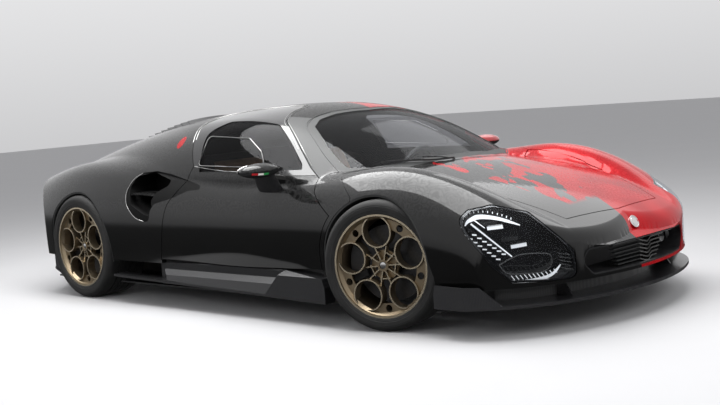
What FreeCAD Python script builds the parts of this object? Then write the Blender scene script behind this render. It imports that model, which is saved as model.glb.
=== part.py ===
"""Mid-engined supercar: a two-seat coupe with butterfly doors, in millimetres.

The frame is +X forward, +Y to the car's left and +Z up, with the origin on the ground
under the middle of the car.  The outer form is one body made of two lofts, a lower body
and a greenhouse, trimmed to the car's plan outline.  Every panel is that form cut where
the real panels meet.  Left-hand pieces are built and the right-hand ones mirrored.
"""
import FreeCAD
import Part
import math
import os
from collections import namedtuple
from functools import lru_cache
from FreeCAD import Vector as V

# ---------------------------------------------------------------- driving dimensions
HALF_LENGTH = 2320.0
WHEELBASE = 2700.0
FRONT_X = 1270.0                      # front axle
REAR_X = FRONT_X - WHEELBASE          # rear axle
FLOOR_Z = 120.0                       # underside of the body
PANEL = 22.0                          # thickness of body panels and lids
GLASS = 6.0                           # thickness of the windows
DOOR = 105.0                          # thickness of the doors and sills
GAP = 5.0                             # shut lines round moving panels
LIP = 18.0                            # the splitter stands out beyond the nose by this
CHIN_Z = 246.0                        # bottom edge of the nose ahead of the front wheels
SPLITTER_Z = 150.0                    # underside of the splitter
FAR = 3000.0                          # longer than the car is wide or high

# One row for each axle: tyre radius and width, outer face of the tyre, rim lip radius,
# brake disc radius and the radius of the arch in the wing.
Axle = namedtuple("Axle", "x r width face_y rim_r disc_r arch_r")
FRONT = Axle(FRONT_X, 340.0, 245.0, 955.0, 268.0, 200.0, 364.0)
REAR = Axle(REAR_X, 346.0, 305.0, 972.0, 268.0, 195.0, 370.0)

KINGPIN_IN = 170.0                    # kingpin's distance inboard of the tyre face
PARKED_STEER = 14.0                   # the front wheels stand turned to the left
RING_TURN = 95.0                      # the first of the wheel's rings, from forwards over the top

# The butterfly door turns about the line of the windscreen pillar.
HINGE_FOOT = V(787, 845, 817)
HINGE_TOP = V(260, 569, 1141)


# ---------------------------------------------------------------- helpers
def box(x0, x1, y0, y1, z0, z1):
    return Part.makeBox(x1 - x0, y1 - y0, z1 - z0, V(x0, y0, z0))


def mirrored(shape):
    return shape.mirror(V(0, 0, 0), V(0, 1, 0))


def both(shape):
    return Part.makeCompound([shape, mirrored(shape)])


def outline(points):
    return Part.makePolygon(points + points[:1])


def side_prism(points, y0, y1, r=0.0):
    """A solid whose outline in side view is points (x, z), from y0 to y1, with corners of r."""
    corners = [V(x, y0, z) for x, z in points]
    face = Part.Face(rounded(corners, r) if r else outline(corners))
    return face.extrude(V(0, y1 - y0, 0))


def plan_prism(points, z0, z1, r=0.0):
    """A solid whose outline in plan is points (x, y), from z0 to z1, with corners of r."""
    corners = [V(x, y, z0) for x, y in points]
    face = Part.Face(rounded(corners, r) if r else outline(corners))
    return face.extrude(V(0, 0, z1 - z0))


def cross_prism(points, x0, x1, r=0.0):
    """A solid whose outline across the car is points (y, z), from x0 to x1, corners of r."""
    corners = [V(x0, y, z) for y, z in points]
    face = Part.Face(rounded(corners, r) if r else outline(corners))
    return face.extrude(V(x1 - x0, 0, 0))


def rounded(points, r):
    """A closed outline of straight edges with its corners rounded to r, or to what fits."""
    arcs = []
    for i, corner in enumerate(points):
        back = points[i - 1] - corner
        on = points[(i + 1) % len(points)] - corner
        half = back.getAngle(on) / 2
        reach = min(r / math.tan(half), 0.48 * back.Length, 0.48 * on.Length)
        back.normalize()
        on.normalize()
        radius = reach * math.tan(half)
        inward = (back + on).normalize()
        middle = corner + inward * (radius / math.sin(half) - radius)
        arcs.append(Part.Arc(corner + back * reach, middle, corner + on * reach))
    edges = [arc.toShape() for arc in arcs]
    edges += [Part.makeLine(arcs[i - 1].EndPoint, arcs[i].StartPoint) for i in range(len(arcs))]
    return Part.Wire(Part.__sortEdges__(edges))


def across(x, z, r, y0, y1):
    """A cylinder along the axles."""
    return Part.makeCylinder(r, y1 - y0, V(x, y0, z), V(0, 1, 0))


def tube(start, end, r):
    return Part.makeCylinder(r, (end - start).Length, start, end - start)


def largest(shape):
    """The biggest solid of a cut shape, without the crumbs."""
    return max(shape.Solids, key=lambda solid: solid.Volume)


def without_crumbs(shape, smallest=2.0e4):
    return Part.makeCompound([s for s in shape.Solids if s.Volume > smallest])


# ---------------------------------------------------------------- outer form
# Half sections of the lower body.  sill: bottom edge.  waist: widest point.
# shoulder: where the side turns into the wing's crest.  valley: inner foot of the crest.
Section = namedtuple("Section", "x sill_y waist_y waist_z shoulder_y shoulder_z"
                                " valley_y valley_z centre_z")
LOWER = [Section(*row) for row in (
    (2360, 700, 800, 290, 715, 375, 470, 400, 392),
    (2150, 770, 850, 330, 770, 455, 500, 502, 518),
    (1850, 860, 915, 400, 832, 600, 530, 628, 650),
    (1550, 900, 950, 450, 862, 712, 560, 706, 732),
    (1270, 905, 966, 480, 868, 762, 585, 745, 785),
    (900, 890, 952, 500, 865, 745, 640, 770, 815),
    (450, 880, 940, 500, 862, 735, 660, 785, 820),
    (-200, 885, 938, 500, 850, 760, 640, 800, 830),
    (-700, 900, 955, 500, 862, 800, 620, 840, 850),
    (-1200, 915, 980, 510, 885, 810, 600, 875, 880),
    (-1650, 900, 972, 530, 865, 810, 590, 870, 880),
    (-2100, 820, 900, 560, 800, 760, 560, 815, 830),
    (-2380, 740, 820, 560, 730, 715, 520, 770, 790),
)]

# Half sections of the greenhouse.  belt: foot of the side glass.  rail: where the glass
# turns into the roof.  top: roof on the centre line.
Glass = namedtuple("Glass", "x belt_y belt_z rail_y rail_z top_z")
GREENHOUSE = [Glass(*row) for row in (
    (1150, 560, 700, 400, 750, 770),
    (900, 790, 745, 545, 850, 903),
    (600, 850, 775, 575, 985, 1058),
    (250, 860, 790, 560, 1092, 1160),
    (-200, 850, 800, 540, 1128, 1184),
    (-700, 830, 820, 520, 1098, 1160),
    (-1200, 780, 830, 470, 1042, 1097),
    (-1750, 680, 820, 400, 945, 988),
    (-2380, 540, 730, 300, 815, 838),
)]
SUNK_Z = 500.0                        # greenhouse sections run down into the lower body


def arc_from(a, tangent, b):
    """The flat arc that leaves a along tangent and ends at b."""
    chord = b - a
    normal = tangent.cross(chord)
    inward = normal.cross(tangent).normalize()
    centre = a + inward * (chord.Length ** 2 / (2 * chord.dot(inward)))
    half_turn = FreeCAD.Rotation(normal, math.degrees(tangent.getAngle(chord)))
    return Part.Arc(a, centre + half_turn.multVec(a - centre), b)


def closed_section(half, top, bottom_a, bottom_b):
    edges = [curve.toShape() for curve in half]
    other = [mirrored(edge) for edge in edges]
    floor = Part.makeLine(bottom_a, bottom_b)
    return Part.Wire(Part.__sortEdges__(edges + other + top + [floor]))


def lower_section(s, t=0.0):
    """One section of the lower body, t inside the outer form."""
    up = V(0, 0, 1)
    sill = V(s.x, s.sill_y - t, FLOOR_Z)
    waist = V(s.x, s.waist_y - t, s.waist_z)
    shoulder = V(s.x, s.shoulder_y - 0.8 * t, s.shoulder_z - 0.7 * t)
    valley = V(s.x, s.valley_y, s.valley_z - t)
    side = arc_from(waist, up, shoulder)
    crest = arc_from(shoulder, side.tangent(side.LastParameter)[0], valley)
    skirt = arc_from(waist, up * -1, sill)
    deck = Part.Arc(valley, V(s.x, 0, s.centre_z - t), V(s.x, -valley.y, valley.z))
    return closed_section([skirt, side, crest], [deck.toShape()], sill, V(s.x, -sill.y, FLOOR_Z))


def greenhouse_section(g, t=0.0):
    """One section of the greenhouse, t inside the outer form."""
    belt = V(g.x, g.belt_y - t, g.belt_z)
    rail = V(g.x, g.rail_y - 0.6 * t, g.rail_z - 0.8 * t)
    top = V(g.x, 0, g.top_z - t)
    foot = V(g.x, belt.y, SUNK_Z)
    roof = arc_from(top, V(0, 1, 0), rail)
    window = arc_from(rail, roof.tangent(roof.LastParameter)[0], belt)
    return closed_section([roof, window, Part.LineSegment(belt, foot)], [], foot, V(g.x, -foot.y, SUNK_Z))


def plan_face():
    """The car's outline from above, with its bowed nose and tail."""
    flank = 1010.0
    nose_x, corner_x, flank_x = HALF_LENGTH - LIP, 2170.0, 1640.0
    tail_x, tail_corner_x, tail_flank_x = -HALF_LENGTH, -2190.0, -1750.0
    corner_y = 600.0
    nose = Part.Arc(V(corner_x, corner_y, 0), V(nose_x, 0, 0), V(corner_x, -corner_y, 0))
    tail = Part.Arc(V(tail_corner_x, -corner_y, 0), V(tail_x, 0, 0), V(tail_corner_x, corner_y, 0))
    front = Part.Arc(V(flank_x, flank, 0), V(1995, 830, 0), V(corner_x, corner_y, 0))
    rear = Part.Arc(V(tail_corner_x, corner_y, 0), V(-2040, 820, 0), V(tail_flank_x, flank, 0))
    half = [front.toShape(), rear.toShape()]
    sides = [Part.makeLine(V(flank_x, y, 0), V(tail_flank_x, y, 0)) for y in (flank, -flank)]
    edges = half + [mirrored(edge) for edge in half] + sides + [nose.toShape(), tail.toShape()]
    return Part.Face(Part.Wire(Part.__sortEdges__(edges)))


def plan_solid(grow=0.0, z0=0.0, z1=FAR):
    """Everything within the plan outline, moved outwards by grow."""
    face = plan_face()
    if grow:
        face = face.makeOffset2D(grow)
    face.translate(V(0, 0, z0))
    return face.extrude(V(0, 0, z1 - z0))


@lru_cache(maxsize=None)
def form(t=0.0, glass_t=None):
    """The car's outer form moved inwards by t, and its greenhouse by glass_t."""
    glass_t = t if glass_t is None else glass_t
    lower = Part.makeLoft([lower_section(s, t) for s in LOWER], True, False)
    upper = Part.makeLoft([greenhouse_section(g, glass_t) for g in GREENHOUSE], True, False)
    return lower.fuse(upper).common(plan_solid(-t))


def glasshouse(t):
    return Part.makeLoft([greenhouse_section(g, t) for g in GREENHOUSE], True, False)


# ---------------------------------------------------------------- where panels meet
# Seams in plan (x, y), from above, on the left half.
PILLAR_SEAM = [(787, 820), (692, 788), (550, 719), (371, 620), (260, 544), (172, 406), (117, 247)]
ROOF_SEAM = [(60, 200), (-123, 237), (-424, 316), (-500, 435)]
SCREEN = [(385, 0), (352, 265), (364, 426), (429, 541), (658, 667), (813, 721),
          (900, 722), (1000, 600), (1060, 400), (1085, 0)]
HOOD = [(1130, 0), (1130, 650), (1500, 590), (1850, 510), (2100, 430), (2130, 0)]
LID = [(-705, 0), (-705, 395), (-1990, 425), (-1990, 0)]
SILL_TOP_Z = 362.0                    # foot of the door at y 812
SILL_DOWN = V(0, -0.447, -0.894)      # the door's foot faces down and inwards


def whole(half):
    """A left half outline, from the middle line round to it, closed on the right."""
    return half + [(x, -y) for x, y in reversed(half) if y]


def beyond(point, normal):
    """Everything on the side of a plane that its normal points to."""
    block = Part.makeBox(2 * FAR, 2 * FAR, FAR, V(-FAR, -FAR, 0))
    block.Placement = FreeCAD.Placement(point, FreeCAD.Rotation(V(0, 0, 1), normal))
    return block


def grown(face, by):
    return face.makeOffset2D(by) if by else face


@lru_cache(maxsize=None)
def door_region(grow=0.0):
    """The left door's space, or its opening with the shut line, grown all round.

    Each face leans so that the door lifts clear of it.
    """
    seam = PILLAR_SEAM + ROOF_SEAM + [(-600, 600), (-600, 1100), (787, 1100)]
    face = Part.Face(outline([V(x, y, 700) for x, y in seam]))
    high = grown(face, grow).extrude(V(0, 0, 700))
    back = V(-0.875, 0.16, -0.457)
    high = high.cut(beyond(V(-286, 832, 870) + back * grow, back))
    side = [(787, 777), (808, 711), (884, 648), (1000, 570), (1000, 100), (-700, 100),
            (-700, 872), (-100, 872), (0, 720), (765, 720)]
    face = Part.Face(outline([V(x, 640, z) for x, z in side]))
    low = grown(face, grow).extrude(V(0, 500, 0))
    pillar = V(0.464, -0.886, 0)
    inboard = beyond(V(787, 820, 777) + pillar * grow, pillar)
    low = low.cut(inboard.common(box(-1000, 830, 0, 1200, 700, 1500)))
    rear = V(-0.931, -0.286, 0.228)
    low = low.cut(beyond(V(-470, 940, 640) + rear * grow, rear))
    corner = V(-0.77, -0.46, 0.44)
    low = low.cut(beyond(V(-275, 832, 870) + corner * grow, corner))
    low = low.cut(beyond(V(0, 812, SILL_TOP_Z) + SILL_DOWN * grow, SILL_DOWN))
    low = low.cut(across(FRONT.x, FRONT.r, FRONT.arch_r + 32 - grow, 600, 1200))
    return high.fuse(low)


# ---------------------------------------------------------------- cutters
HEADLIGHT_VIEW = V(0.716, 0.698, 0)   # the lamps are cut along this line
# Headlight outline: distance across that line, and height.
HEADLIGHT = [(-615, 580), (-667, 624), (-787, 639), (-964, 589), (-1102, 455), (-1160, 390),
             (-1169, 264), (-1021, 264), (-838, 272), (-748, 360), (-640, 511)]
MOUTH = [(455, 394), (490, 330), (430, 260), (-430, 260), (-490, 330), (-455, 394)]
INTAKE = [(-492, 782), (-688, 832), (-826, 810), (-866, 742), (-830, 634), (-690, 574),
          (-540, 550), (-640, 650), (-600, 708), (-496, 750)]


def headlight_cutter(shrink=0.0):
    """A prism through the left front corner along the headlight's line of sight."""
    side = V(-0.698, 0.716, 0)
    mid_s = sum(p[0] for p in HEADLIGHT) / len(HEADLIGHT)
    mid_z = sum(p[1] for p in HEADLIGHT) / len(HEADLIGHT)
    keep = 1 - shrink / 150.0
    points = [side * (mid_s + (s - mid_s) * keep) + V(0, 0, mid_z + (z - mid_z) * keep)
              for s, z in HEADLIGHT]
    start = HEADLIGHT_VIEW * 1500
    face = Part.Face(rounded([point + start for point in points], 40))
    return face.extrude(HEADLIGHT_VIEW * 1500)


def arches():
    cut = across(FRONT.x, FRONT.r, FRONT.arch_r, 700, 1200)
    down = side_prism([(1400, 385), (1631, 385), (1655, 300), (1660, 100), (1400, 100)], 700, 1200)
    return both(cut.fuse([down, across(REAR.x, REAR.r, REAR.arch_r, 640, 1200)]))


def wells():
    """The room that the turning wheels need inside the body."""
    front = across(FRONT.x, FRONT.r, 408, 500, 1200)
    return both(front.fuse(across(REAR.x, REAR.r, 392, 640, 1200)))


# ---------------------------------------------------------------- bodywork
def bodywork():
    """Every outer panel, cut from the one form."""
    body = form()
    skin = body.cut(form(PANEL))
    cabin = form(DOOR, 38)
    pane = glasshouse(2.0).cut(glasshouse(2.0 + GLASS))
    door = door_region()
    parts = {}

    window = plan_prism([(650, 900), (650, 795), (560, 752), (380, 662), (265, 602),
                         (-170, 600), (-285, 700), (-240, 800), (-200, 900)], 828, 1300, 60)
    frame = body.common(door).cut(cabin)
    parts["door_left"] = largest(frame.cut(window))
    parts["door_window_left"] = largest(pane.common(window).common(door))

    fixed = skin.cut(both(door_region(GAP))).cut(arches())
    screen = plan_prism(whole(SCREEN), 600, 1400)
    parts["windscreen"] = largest(pane.common(screen).cut(form_lower()))
    fixed = fixed.cut(screen)

    hood = plan_prism(whole(HOOD), 450, 1000)
    lid = plan_prism(whole(LID), 820, 1400)
    parts["hood"] = largest(skin.common(hood))
    parts["engine_lid"] = largest(skin.common(lid))
    hood_hole = grown_prism(HOOD, 450, 1000)
    fixed = fixed.cut(hood_hole.fuse(hood_hole.translated(V(GAP, 0, 0))))
    fixed = fixed.cut(grown_prism(LID, 820, 1400))

    lamps = both(headlight_cutter())
    lenses = without_crumbs(body.cut(form(GLASS)).common(lamps))
    parts["headlights"] = Part.makeCompound(lenses.Solids + headlight_bowls().Solids)
    fixed = fixed.cut(lamps)
    mouth = cross_prism(MOUTH, 1900, 2600, 45)
    fixed = fixed.cut(mouth).cut(both(side_prism(INTAKE, 700, 1200, 40)))
    fixed = fixed.cut(box(1400, 2600, -1200, 1200, 0, CHIN_Z))
    fixed = fixed.cut(both(box(-553, 878, 700, 1200, 0, 312)))

    low_nose = box(1400, 2600, -1200, 1200, 0, 285).fuse(box(2105, 2600, -1200, 1200, 0, 700))
    parts["front_bumper"] = without_crumbs(fixed.common(low_nose))
    fixed = fixed.cut(low_nose)
    cowl_top = plan_prism(whole([(100, 0)] + PILLAR_SEAM[::-1] + [(787, 1100), (930, 1100),
                                 (934, 763), (1120, 655), (1140, 0)]), 500, 1400)
    cowl_foot = both(side_prism([(700, 872), (934, 808), (1026, 749), (1106, 689),
                                 (1140, 560), (600, 560)], 740, 1200))
    strip = both(side_prism([(600, 600), (1100, 600), (1000, 100), (600, 100)], 740, 1200))
    cowl = cowl_top.fuse(cowl_foot).fuse(strip)
    parts["cowl"] = without_crumbs(fixed.common(cowl).cut(box(100, 1500, -1200, 1200, 0, 275)), 3e5)
    fixed = fixed.cut(cowl)
    parts["front_fenders"] = without_crumbs(fixed.common(box(800, 2600, -1200, 1200, 250, 1000)), 3e5)
    roof = plan_prism(whole([(101, 0), (117, 247)] + ROOF_SEAM + [(-700, 400), (-700, 0)]), 900, 1400)
    parts["roof"] = largest(fixed.common(roof))
    fixed = fixed.cut(roof)
    tail = box(-2600, LID[-1][0] - GAP, -1200, 1200, 300, 1200)
    lights = box(-2600, -2030, -1200, 1200, 668, 736)
    parts["tail"] = largest(fixed.common(tail).cut(lights))
    parts["tail_lights"] = without_crumbs(fixed.common(tail).common(lights))
    quarters = box(LID[-1][0] - GAP, -200, -1200, 1200, 272, 1400)
    quarters = without_crumbs(fixed.common(quarters), 1e6)
    parts["rear_quarters"] = quarters.fuse(both(intake_duct())).removeSplitter()
    return parts


def headlight_bowls():
    """The dish behind each headlight lens, with a flat back."""
    back, wall = 1850.0, 8.0
    dish = headlight_cutter(1).common(beyond(HEADLIGHT_VIEW * back, HEADLIGHT_VIEW))
    room = headlight_cutter(wall).common(beyond(HEADLIGHT_VIEW * (back + wall), HEADLIGHT_VIEW))
    return without_crumbs(both(dish.cut(room)).common(form(PANEL)))


def intake_duct():
    """The duct behind the side intake, with a blade across it."""
    wall, floor_y = 8.0, 700.0
    hole = [V(x, floor_y, z) for x, z in INTAKE]
    outer = Part.Face(rounded(hole, 40).makeOffset2D(wall)).extrude(V(0, 500, 0))
    inner = Part.Face(rounded(hole, 40)).extrude(V(0, 500, 0)).translated(V(0, wall, 0))
    blade = plan_prism([(-870, 705), (-870, 868), (-600, 855), (-690, 705)], 700, 708)
    duct = outer.cut(inner).fuse(blade.common(outer))
    return duct.common(form(PANEL - 8))


def form_lower():
    return Part.makeLoft([lower_section(s) for s in LOWER], True, False)


def grown_prism(half, z0, z1):
    """A lid's outline with its shut line added all round."""
    face = Part.Face(outline([V(x, y, z0) for x, y in whole(half)]))
    return face.makeOffset2D(GAP).extrude(V(0, 0, z1 - z0))


# ---------------------------------------------------------------- structure
def structure():
    parts = {}
    sill = [(0, 128), (880, 128), (880, 315), (812, 350), (700, 350), (690, 178), (0, 178)]
    outline_yz = sill + [(-y, z) for y, z in reversed(sill) if y]
    tub = cross_prism(outline_yz, -650, 880)
    tub = tub.fuse(box(-650, -610, -690, 690, 178, 900).common(form(45)))
    tub = tub.fuse(box(840, 880, -690, 690, 178, 700))
    parts["tub"] = tub.cut(wells()).removeSplitter()
    tray = plan_solid(-60, 112, 120).common(box(-1900, 1640, -880, 880, 0, 300))
    parts["undertray"] = largest(tray.cut(wells()))
    luggage = box(880, 1960, -430, 430, 200, 640).cut(box(892, 1948, -418, 418, 212, 700))
    luggage = luggage.common(form(PANEL + 12))
    bay = box(-1890, -650, -540, 540, 121, 680).cut(box(-1878, -662, -528, 528, 140, 900))
    parts["compartments"] = Part.makeCompound([luggage, bay])
    parts["engine_block"] = box(-1500, -760, -290, 290, 200, 720)
    return parts


def wheel_liners():
    liners = []
    for axle, inner, outer_y, r in ((FRONT, 520, 820, 395), (REAR, 650, 880, 380)):
        ring = across(axle.x, axle.r, r + 4, inner, outer_y)
        ring = ring.cut(across(axle.x, axle.r, r, inner + 4, outer_y + 1))
        ring = ring.cut(box(axle.x - 500, axle.x + 500, 0, 1000, 0, 290))
        ring = ring.cut(box(axle.x - 190, axle.x + 190, inner - 1, inner + 5, axle.r + 100, axle.r + 170))
        ring = ring.common(form(PANEL + 12))
        liners.append(largest(ring))
    return both(Part.makeCompound(liners))


# ---------------------------------------------------------------- wheels
def rolled(profile, axle):
    """A solid of revolution about the left axle; profile points are (radius, y)."""
    face = Part.Face(outline([V(axle.x + r, y, axle.r) for r, y in profile]))
    return face.revolve(V(axle.x, 0, axle.r), V(0, 1, 0), 360)


def rim(axle):
    """Cast wheel: five tube rings round the hub, tied by a web to the lip and by thin ribs."""
    face_y, inner_y = axle.face_y, axle.face_y - axle.width
    r = axle.rim_r
    barrel = [(r, face_y - 6), (r, face_y - 18), (r - 16, face_y - 30), (r - 22, face_y - 70),
              (r - 22, inner_y + 36), (r, inner_y + 20), (r, inner_y + 10), (r - 8, inner_y + 10),
              (r - 30, inner_y + 34), (r - 30, face_y - 72), (r - 26, face_y - 34),
              (r - 12, face_y - 16), (r - 10, face_y - 6)]
    ring_r, ring_at, wall = 84.0, 178.0, 7.0
    reach = r - 18                       # the rings run out into the lip
    web_in, hub_r, lug_r = 195.0, 78.0, 52.0
    solids = [across(axle.x, axle.r, reach, face_y - 44, face_y - 34).cut(
        across(axle.x, axle.r, web_in, face_y - 50, face_y)),
        across(axle.x, axle.r, hub_r, face_y - 78, face_y - 66),
        across(axle.x, axle.r, 31, face_y - 78, face_y - 36)]
    holes = [across(axle.x, axle.r, 20, face_y - 52, face_y)]
    for k in range(5):
        ring_turn = RING_TURN + 72 * k
        gap_turn = ring_turn + 36
        solids.append(around(axle, across(axle.x + ring_at, axle.r, ring_r, face_y - 75, face_y - 20),
                             ring_turn))
        holes.append(around(axle, across(axle.x + ring_at, axle.r, ring_r - wall, face_y - 90, face_y),
                            ring_turn))
        holes.append(around(axle, across(axle.x + 221, axle.r, 19, face_y - 60, face_y), gap_turn))
        holes.append(around(axle, across(axle.x + lug_r, axle.r, 11, face_y - 90, face_y - 60), gap_turn))
        rib = box(axle.x + 28, axle.x + 110, face_y - 68, face_y - 40, axle.r - 3, axle.r + 3)
        solids += [around(axle, rib, ring_turn + turn) for turn in (-19, 19)]
        tie = box(axle.x + 66, axle.x + 71, face_y - 68, face_y - 42, axle.r - 30, axle.r + 30)
        solids.append(around(axle, tie, gap_turn))
    spider = solids[0].fuse(solids[1:]).common(across(axle.x, axle.r, reach, face_y - 90, face_y))
    spider = spider.cut(holes[0].fuse(holes[1:]))
    return rolled(barrel, axle).fuse(largest(spider)).removeSplitter()


def around(axle, shape, degrees):
    """A piece of the wheel turned round the axle, from forwards over the top."""
    turned = shape.copy()
    turned.rotate(V(axle.x, 0, axle.r), V(0, 1, 0), -degrees)
    return turned


def tyre(axle):
    face_y, inner_y, r = axle.face_y, axle.face_y - axle.width, axle.r
    profile = [(axle.rim_r, face_y - 7), (axle.rim_r + 12, face_y - 3), (r - 36, face_y),
               (r - 12, face_y - 9), (r, face_y - 34), (r, inner_y + 34), (r - 12, inner_y + 9),
               (r - 36, inner_y), (axle.rim_r + 12, inner_y + 3), (axle.rim_r, inner_y + 11)]
    return rolled(profile, axle)


def brake_disc(axle):
    out_y = axle.face_y - 78
    disc = [(axle.disc_r, out_y - 72), (axle.disc_r, out_y - 38), (78, out_y - 38), (78, out_y),
            (31, out_y), (31, out_y - 66), (46, out_y - 66), (46, out_y - 30), (66, out_y - 30),
            (66, out_y - 72)]
    return rolled(disc, axle)


def upright(axle):
    """The hub carrier: stub axle, kingpin post and brake caliper."""
    out_y = axle.face_y - 78
    pin_y = axle.face_y - KINGPIN_IN
    stub = across(axle.x, axle.r, 28, pin_y - 40, out_y - 4)
    post = Part.makeCylinder(15, 230, V(axle.x, pin_y, axle.r - 115))
    plate = box(axle.x - 40, axle.x + 40, pin_y - 44, pin_y - 12, axle.r - 80, axle.r + 80)
    arm = box(axle.x - 150, axle.x, out_y - 125, out_y - 100, axle.r - 30, axle.r + 30)
    jaw = across(axle.x, axle.r, axle.disc_r + 20, out_y - 112, out_y - 14)
    jaw = jaw.cut(across(axle.x, axle.r, 130, 0, 1200))
    wedge = side_prism([(axle.x, axle.r), (axle.x - 300, axle.r + 150), (axle.x - 300, axle.r - 150)],
                       0, 1200)
    jaw = jaw.common(wedge).cut(across(axle.x, axle.r, axle.disc_r + 6, out_y - 78, out_y - 32))
    return stub.fuse([post, plate, arm, jaw]).removeSplitter()


def arms(axle, inner_y):
    """Upper and lower wishbones, each with a ball on the kingpin's line."""
    pin_y = axle.face_y - KINGPIN_IN
    pieces = []
    for z in (axle.r + 135, axle.r - 135):
        tip = V(axle.x, pin_y, z)
        legs = [tube(V(axle.x + dx, inner_y - 20, z), tip, 12) for dx in (-150, 150)]
        knob = Part.makeCylinder(14, 24, tip - V(0, 0, 12))
        wishbone = legs[0].fuse([legs[1], knob])
        pieces.append(wishbone.common(box(-FAR, FAR, inner_y, 1200, 0, 1000)))
    return pieces


def wheels():
    parts = {}
    for end, axle in (("front", FRONT), ("rear", REAR)):
        made = {"rim": rim(axle), "tyre": tyre(axle), "brake_disc": brake_disc(axle)}
        for name, piece in made.items():
            for side in ("left", "right"):
                placed = piece if side == "left" else mirrored(piece)
                if end == "front":
                    placed = turn_front(placed, side)
                parts[f"{name}_{end}_{side}"] = placed
    for side in ("left", "right"):
        piece = upright(FRONT)
        placed = piece if side == "left" else mirrored(piece)
        parts[f"knuckle_{side}"] = turn_front(placed, side)
    rear = upright(REAR)
    legs = arms(FRONT, 430) + arms(REAR, 540)
    legs = [piece.cut(rear) for piece in legs]
    parts["suspension"] = both(Part.makeCompound(legs))
    parts["rear_uprights"] = both(rear)
    return parts


def turn_front(shape, side):
    """A front wheel's piece, turned to where the steering stands."""
    pin_y = FRONT.face_y - KINGPIN_IN
    turned = shape.copy()
    turned.rotate(V(FRONT.x, pin_y if side == "left" else -pin_y, 0), V(0, 0, 1), PARKED_STEER)
    return turned


# ---------------------------------------------------------------- cabin
def wheel_ring(hub, lean):
    """The steering wheel's padded ring, oval in section."""
    section = [(157, 0), (162, -10), (172, -14), (182, -10), (187, 0), (182, 10), (172, 14), (162, 10)]
    across_x = lean.cross(V(0, 1, 0)).normalize()
    face = Part.Face(outline([hub + across_x * r + lean * h for r, h in section]))
    return face.revolve(hub, lean, 360)


def cabin_fittings():
    parts = {}
    cushion = side_prism([(-330, 185), (230, 185), (250, 320), (-300, 280)], -230, 230)
    back = side_prism([(-335, 300), (-215, 320), (-400, 900), (-500, 880)], -230, 230)
    seats = []
    for y in (-370, 370):
        seats += [cushion.translated(V(0, y, 0)), back.translated(V(0, y, 0))]
    parts["seats"] = Part.makeCompound(seats)
    dash = side_prism([(620, 560), (660, 690), (820, 745), (838, 740), (838, 520), (700, 480)],
                      -690, 690)
    console = box(-560, 700, -95, 95, 179, 400)
    parts["dashboard"] = dash.fuse(console).removeSplitter()
    hub = V(455, 370, 690)
    lean = V(-0.94, 0, 0.34)
    ring = wheel_ring(hub, lean)
    boss = tube(hub - lean * 20, hub + lean * 20, 45)
    spokes = [tube(hub, hub + V(0, s * 165, 0), 12) for s in (-1, 1)]
    column = tube(hub, hub - lean * 190, 25)
    parts["steering_wheel"] = ring.fuse(spokes + [boss, column]).cut(dash)
    return parts


# ---------------------------------------------------------------- trim
def mirror_pod():
    """Door mirror: an oval pod lofted across the car, on a flat stalk."""
    stations = [(884, 24, 14), (915, 52, 29), (985, 64, 41), (1060, 62, 38), (1112, 46, 26), (1137, 16, 9)]
    ovals = []
    for y, half_x, half_z in stations:
        oval = Part.Ellipse(V(520 + half_x, y, 845), V(520, y, 845 + half_z), V(520, y, 845))
        ovals.append(Part.Wire(oval.toShape()))
    pod = Part.makeLoft(ovals, True, False)
    foot = outline([V(548, 850, 742), V(640, 850, 742), V(640, 880, 742), V(548, 880, 742)])
    neck = outline([V(488, 930, 838), V(556, 930, 838), V(556, 985, 838), V(488, 985, 838)])
    return pod.fuse(Part.makeLoft([foot, neck], True, True))


def trim():
    parts = {}
    parts["mirror_left"] = largest(mirror_pod().cut(form()))

    parts["splitter"] = splitter()
    slats = [box(2100, 2215, -300, 300, z, z + 9) for z in (274, 298, 322, 346, 370)]
    core = box(2060, 2085, -440, 440, 255, 405)
    parts["grille"] = Part.makeCompound(slats + [core])
    parts["diffuser"] = diffuser()
    parts["side_skirts"] = both(side_skirt().cut(arches()))
    return parts


def splitter():
    """The splitter's plate with its ramp, the recessed chin above it, and the side fences."""
    nose = box(1640, 2600, -955, 955, 0, 300)
    plate = plan_solid(LIP, SPLITTER_Z, SPLITTER_Z + 16).common(nose)
    ramp = side_prism([(1640, 112), (1760, SPLITTER_Z), (1760, SPLITTER_Z + 8), (1640, 120)], -740, 740)
    behind = plan_solid(-158, 0, 300).common(box(1600, 2600, -732, 732, 0, 300))
    chin = plan_solid(-150, SPLITTER_Z + 4, CHIN_Z).common(box(1650, 2600, -740, 740, 0, 300))
    shelf = form(PANEL).common(box(1650, 2600, -1200, 1200, CHIN_Z - 6, CHIN_Z))
    chin = chin.fuse(shelf).cut(behind)
    inside = plan_solid(LIP - 9, 0, 300).common(box(1600, 2600, -946, 946, 0, 300))
    fence = plan_solid(LIP, SPLITTER_Z, 300).common(nose).cut(inside)
    fence = fence.common(side_prism([(1640, 100), (2000, 100), (1990, 172), (1908, 261), (1640, 266)],
                                    -1200, 1200))
    struts = [side_prism([(2060, SPLITTER_Z + 10), (2150, SPLITTER_Z + 10), (2090, CHIN_Z), (2060, CHIN_Z)],
                         y - 5, y + 5) for y in (-480, 480)]
    plate = plate.fuse([ramp, chin, fence] + struts).cut(wells())
    return plate.cut(box(0, 1660, 700, 1200, 0, 300)).cut(box(0, 1660, -1200, -700, 0, 300)).removeSplitter()


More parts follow.
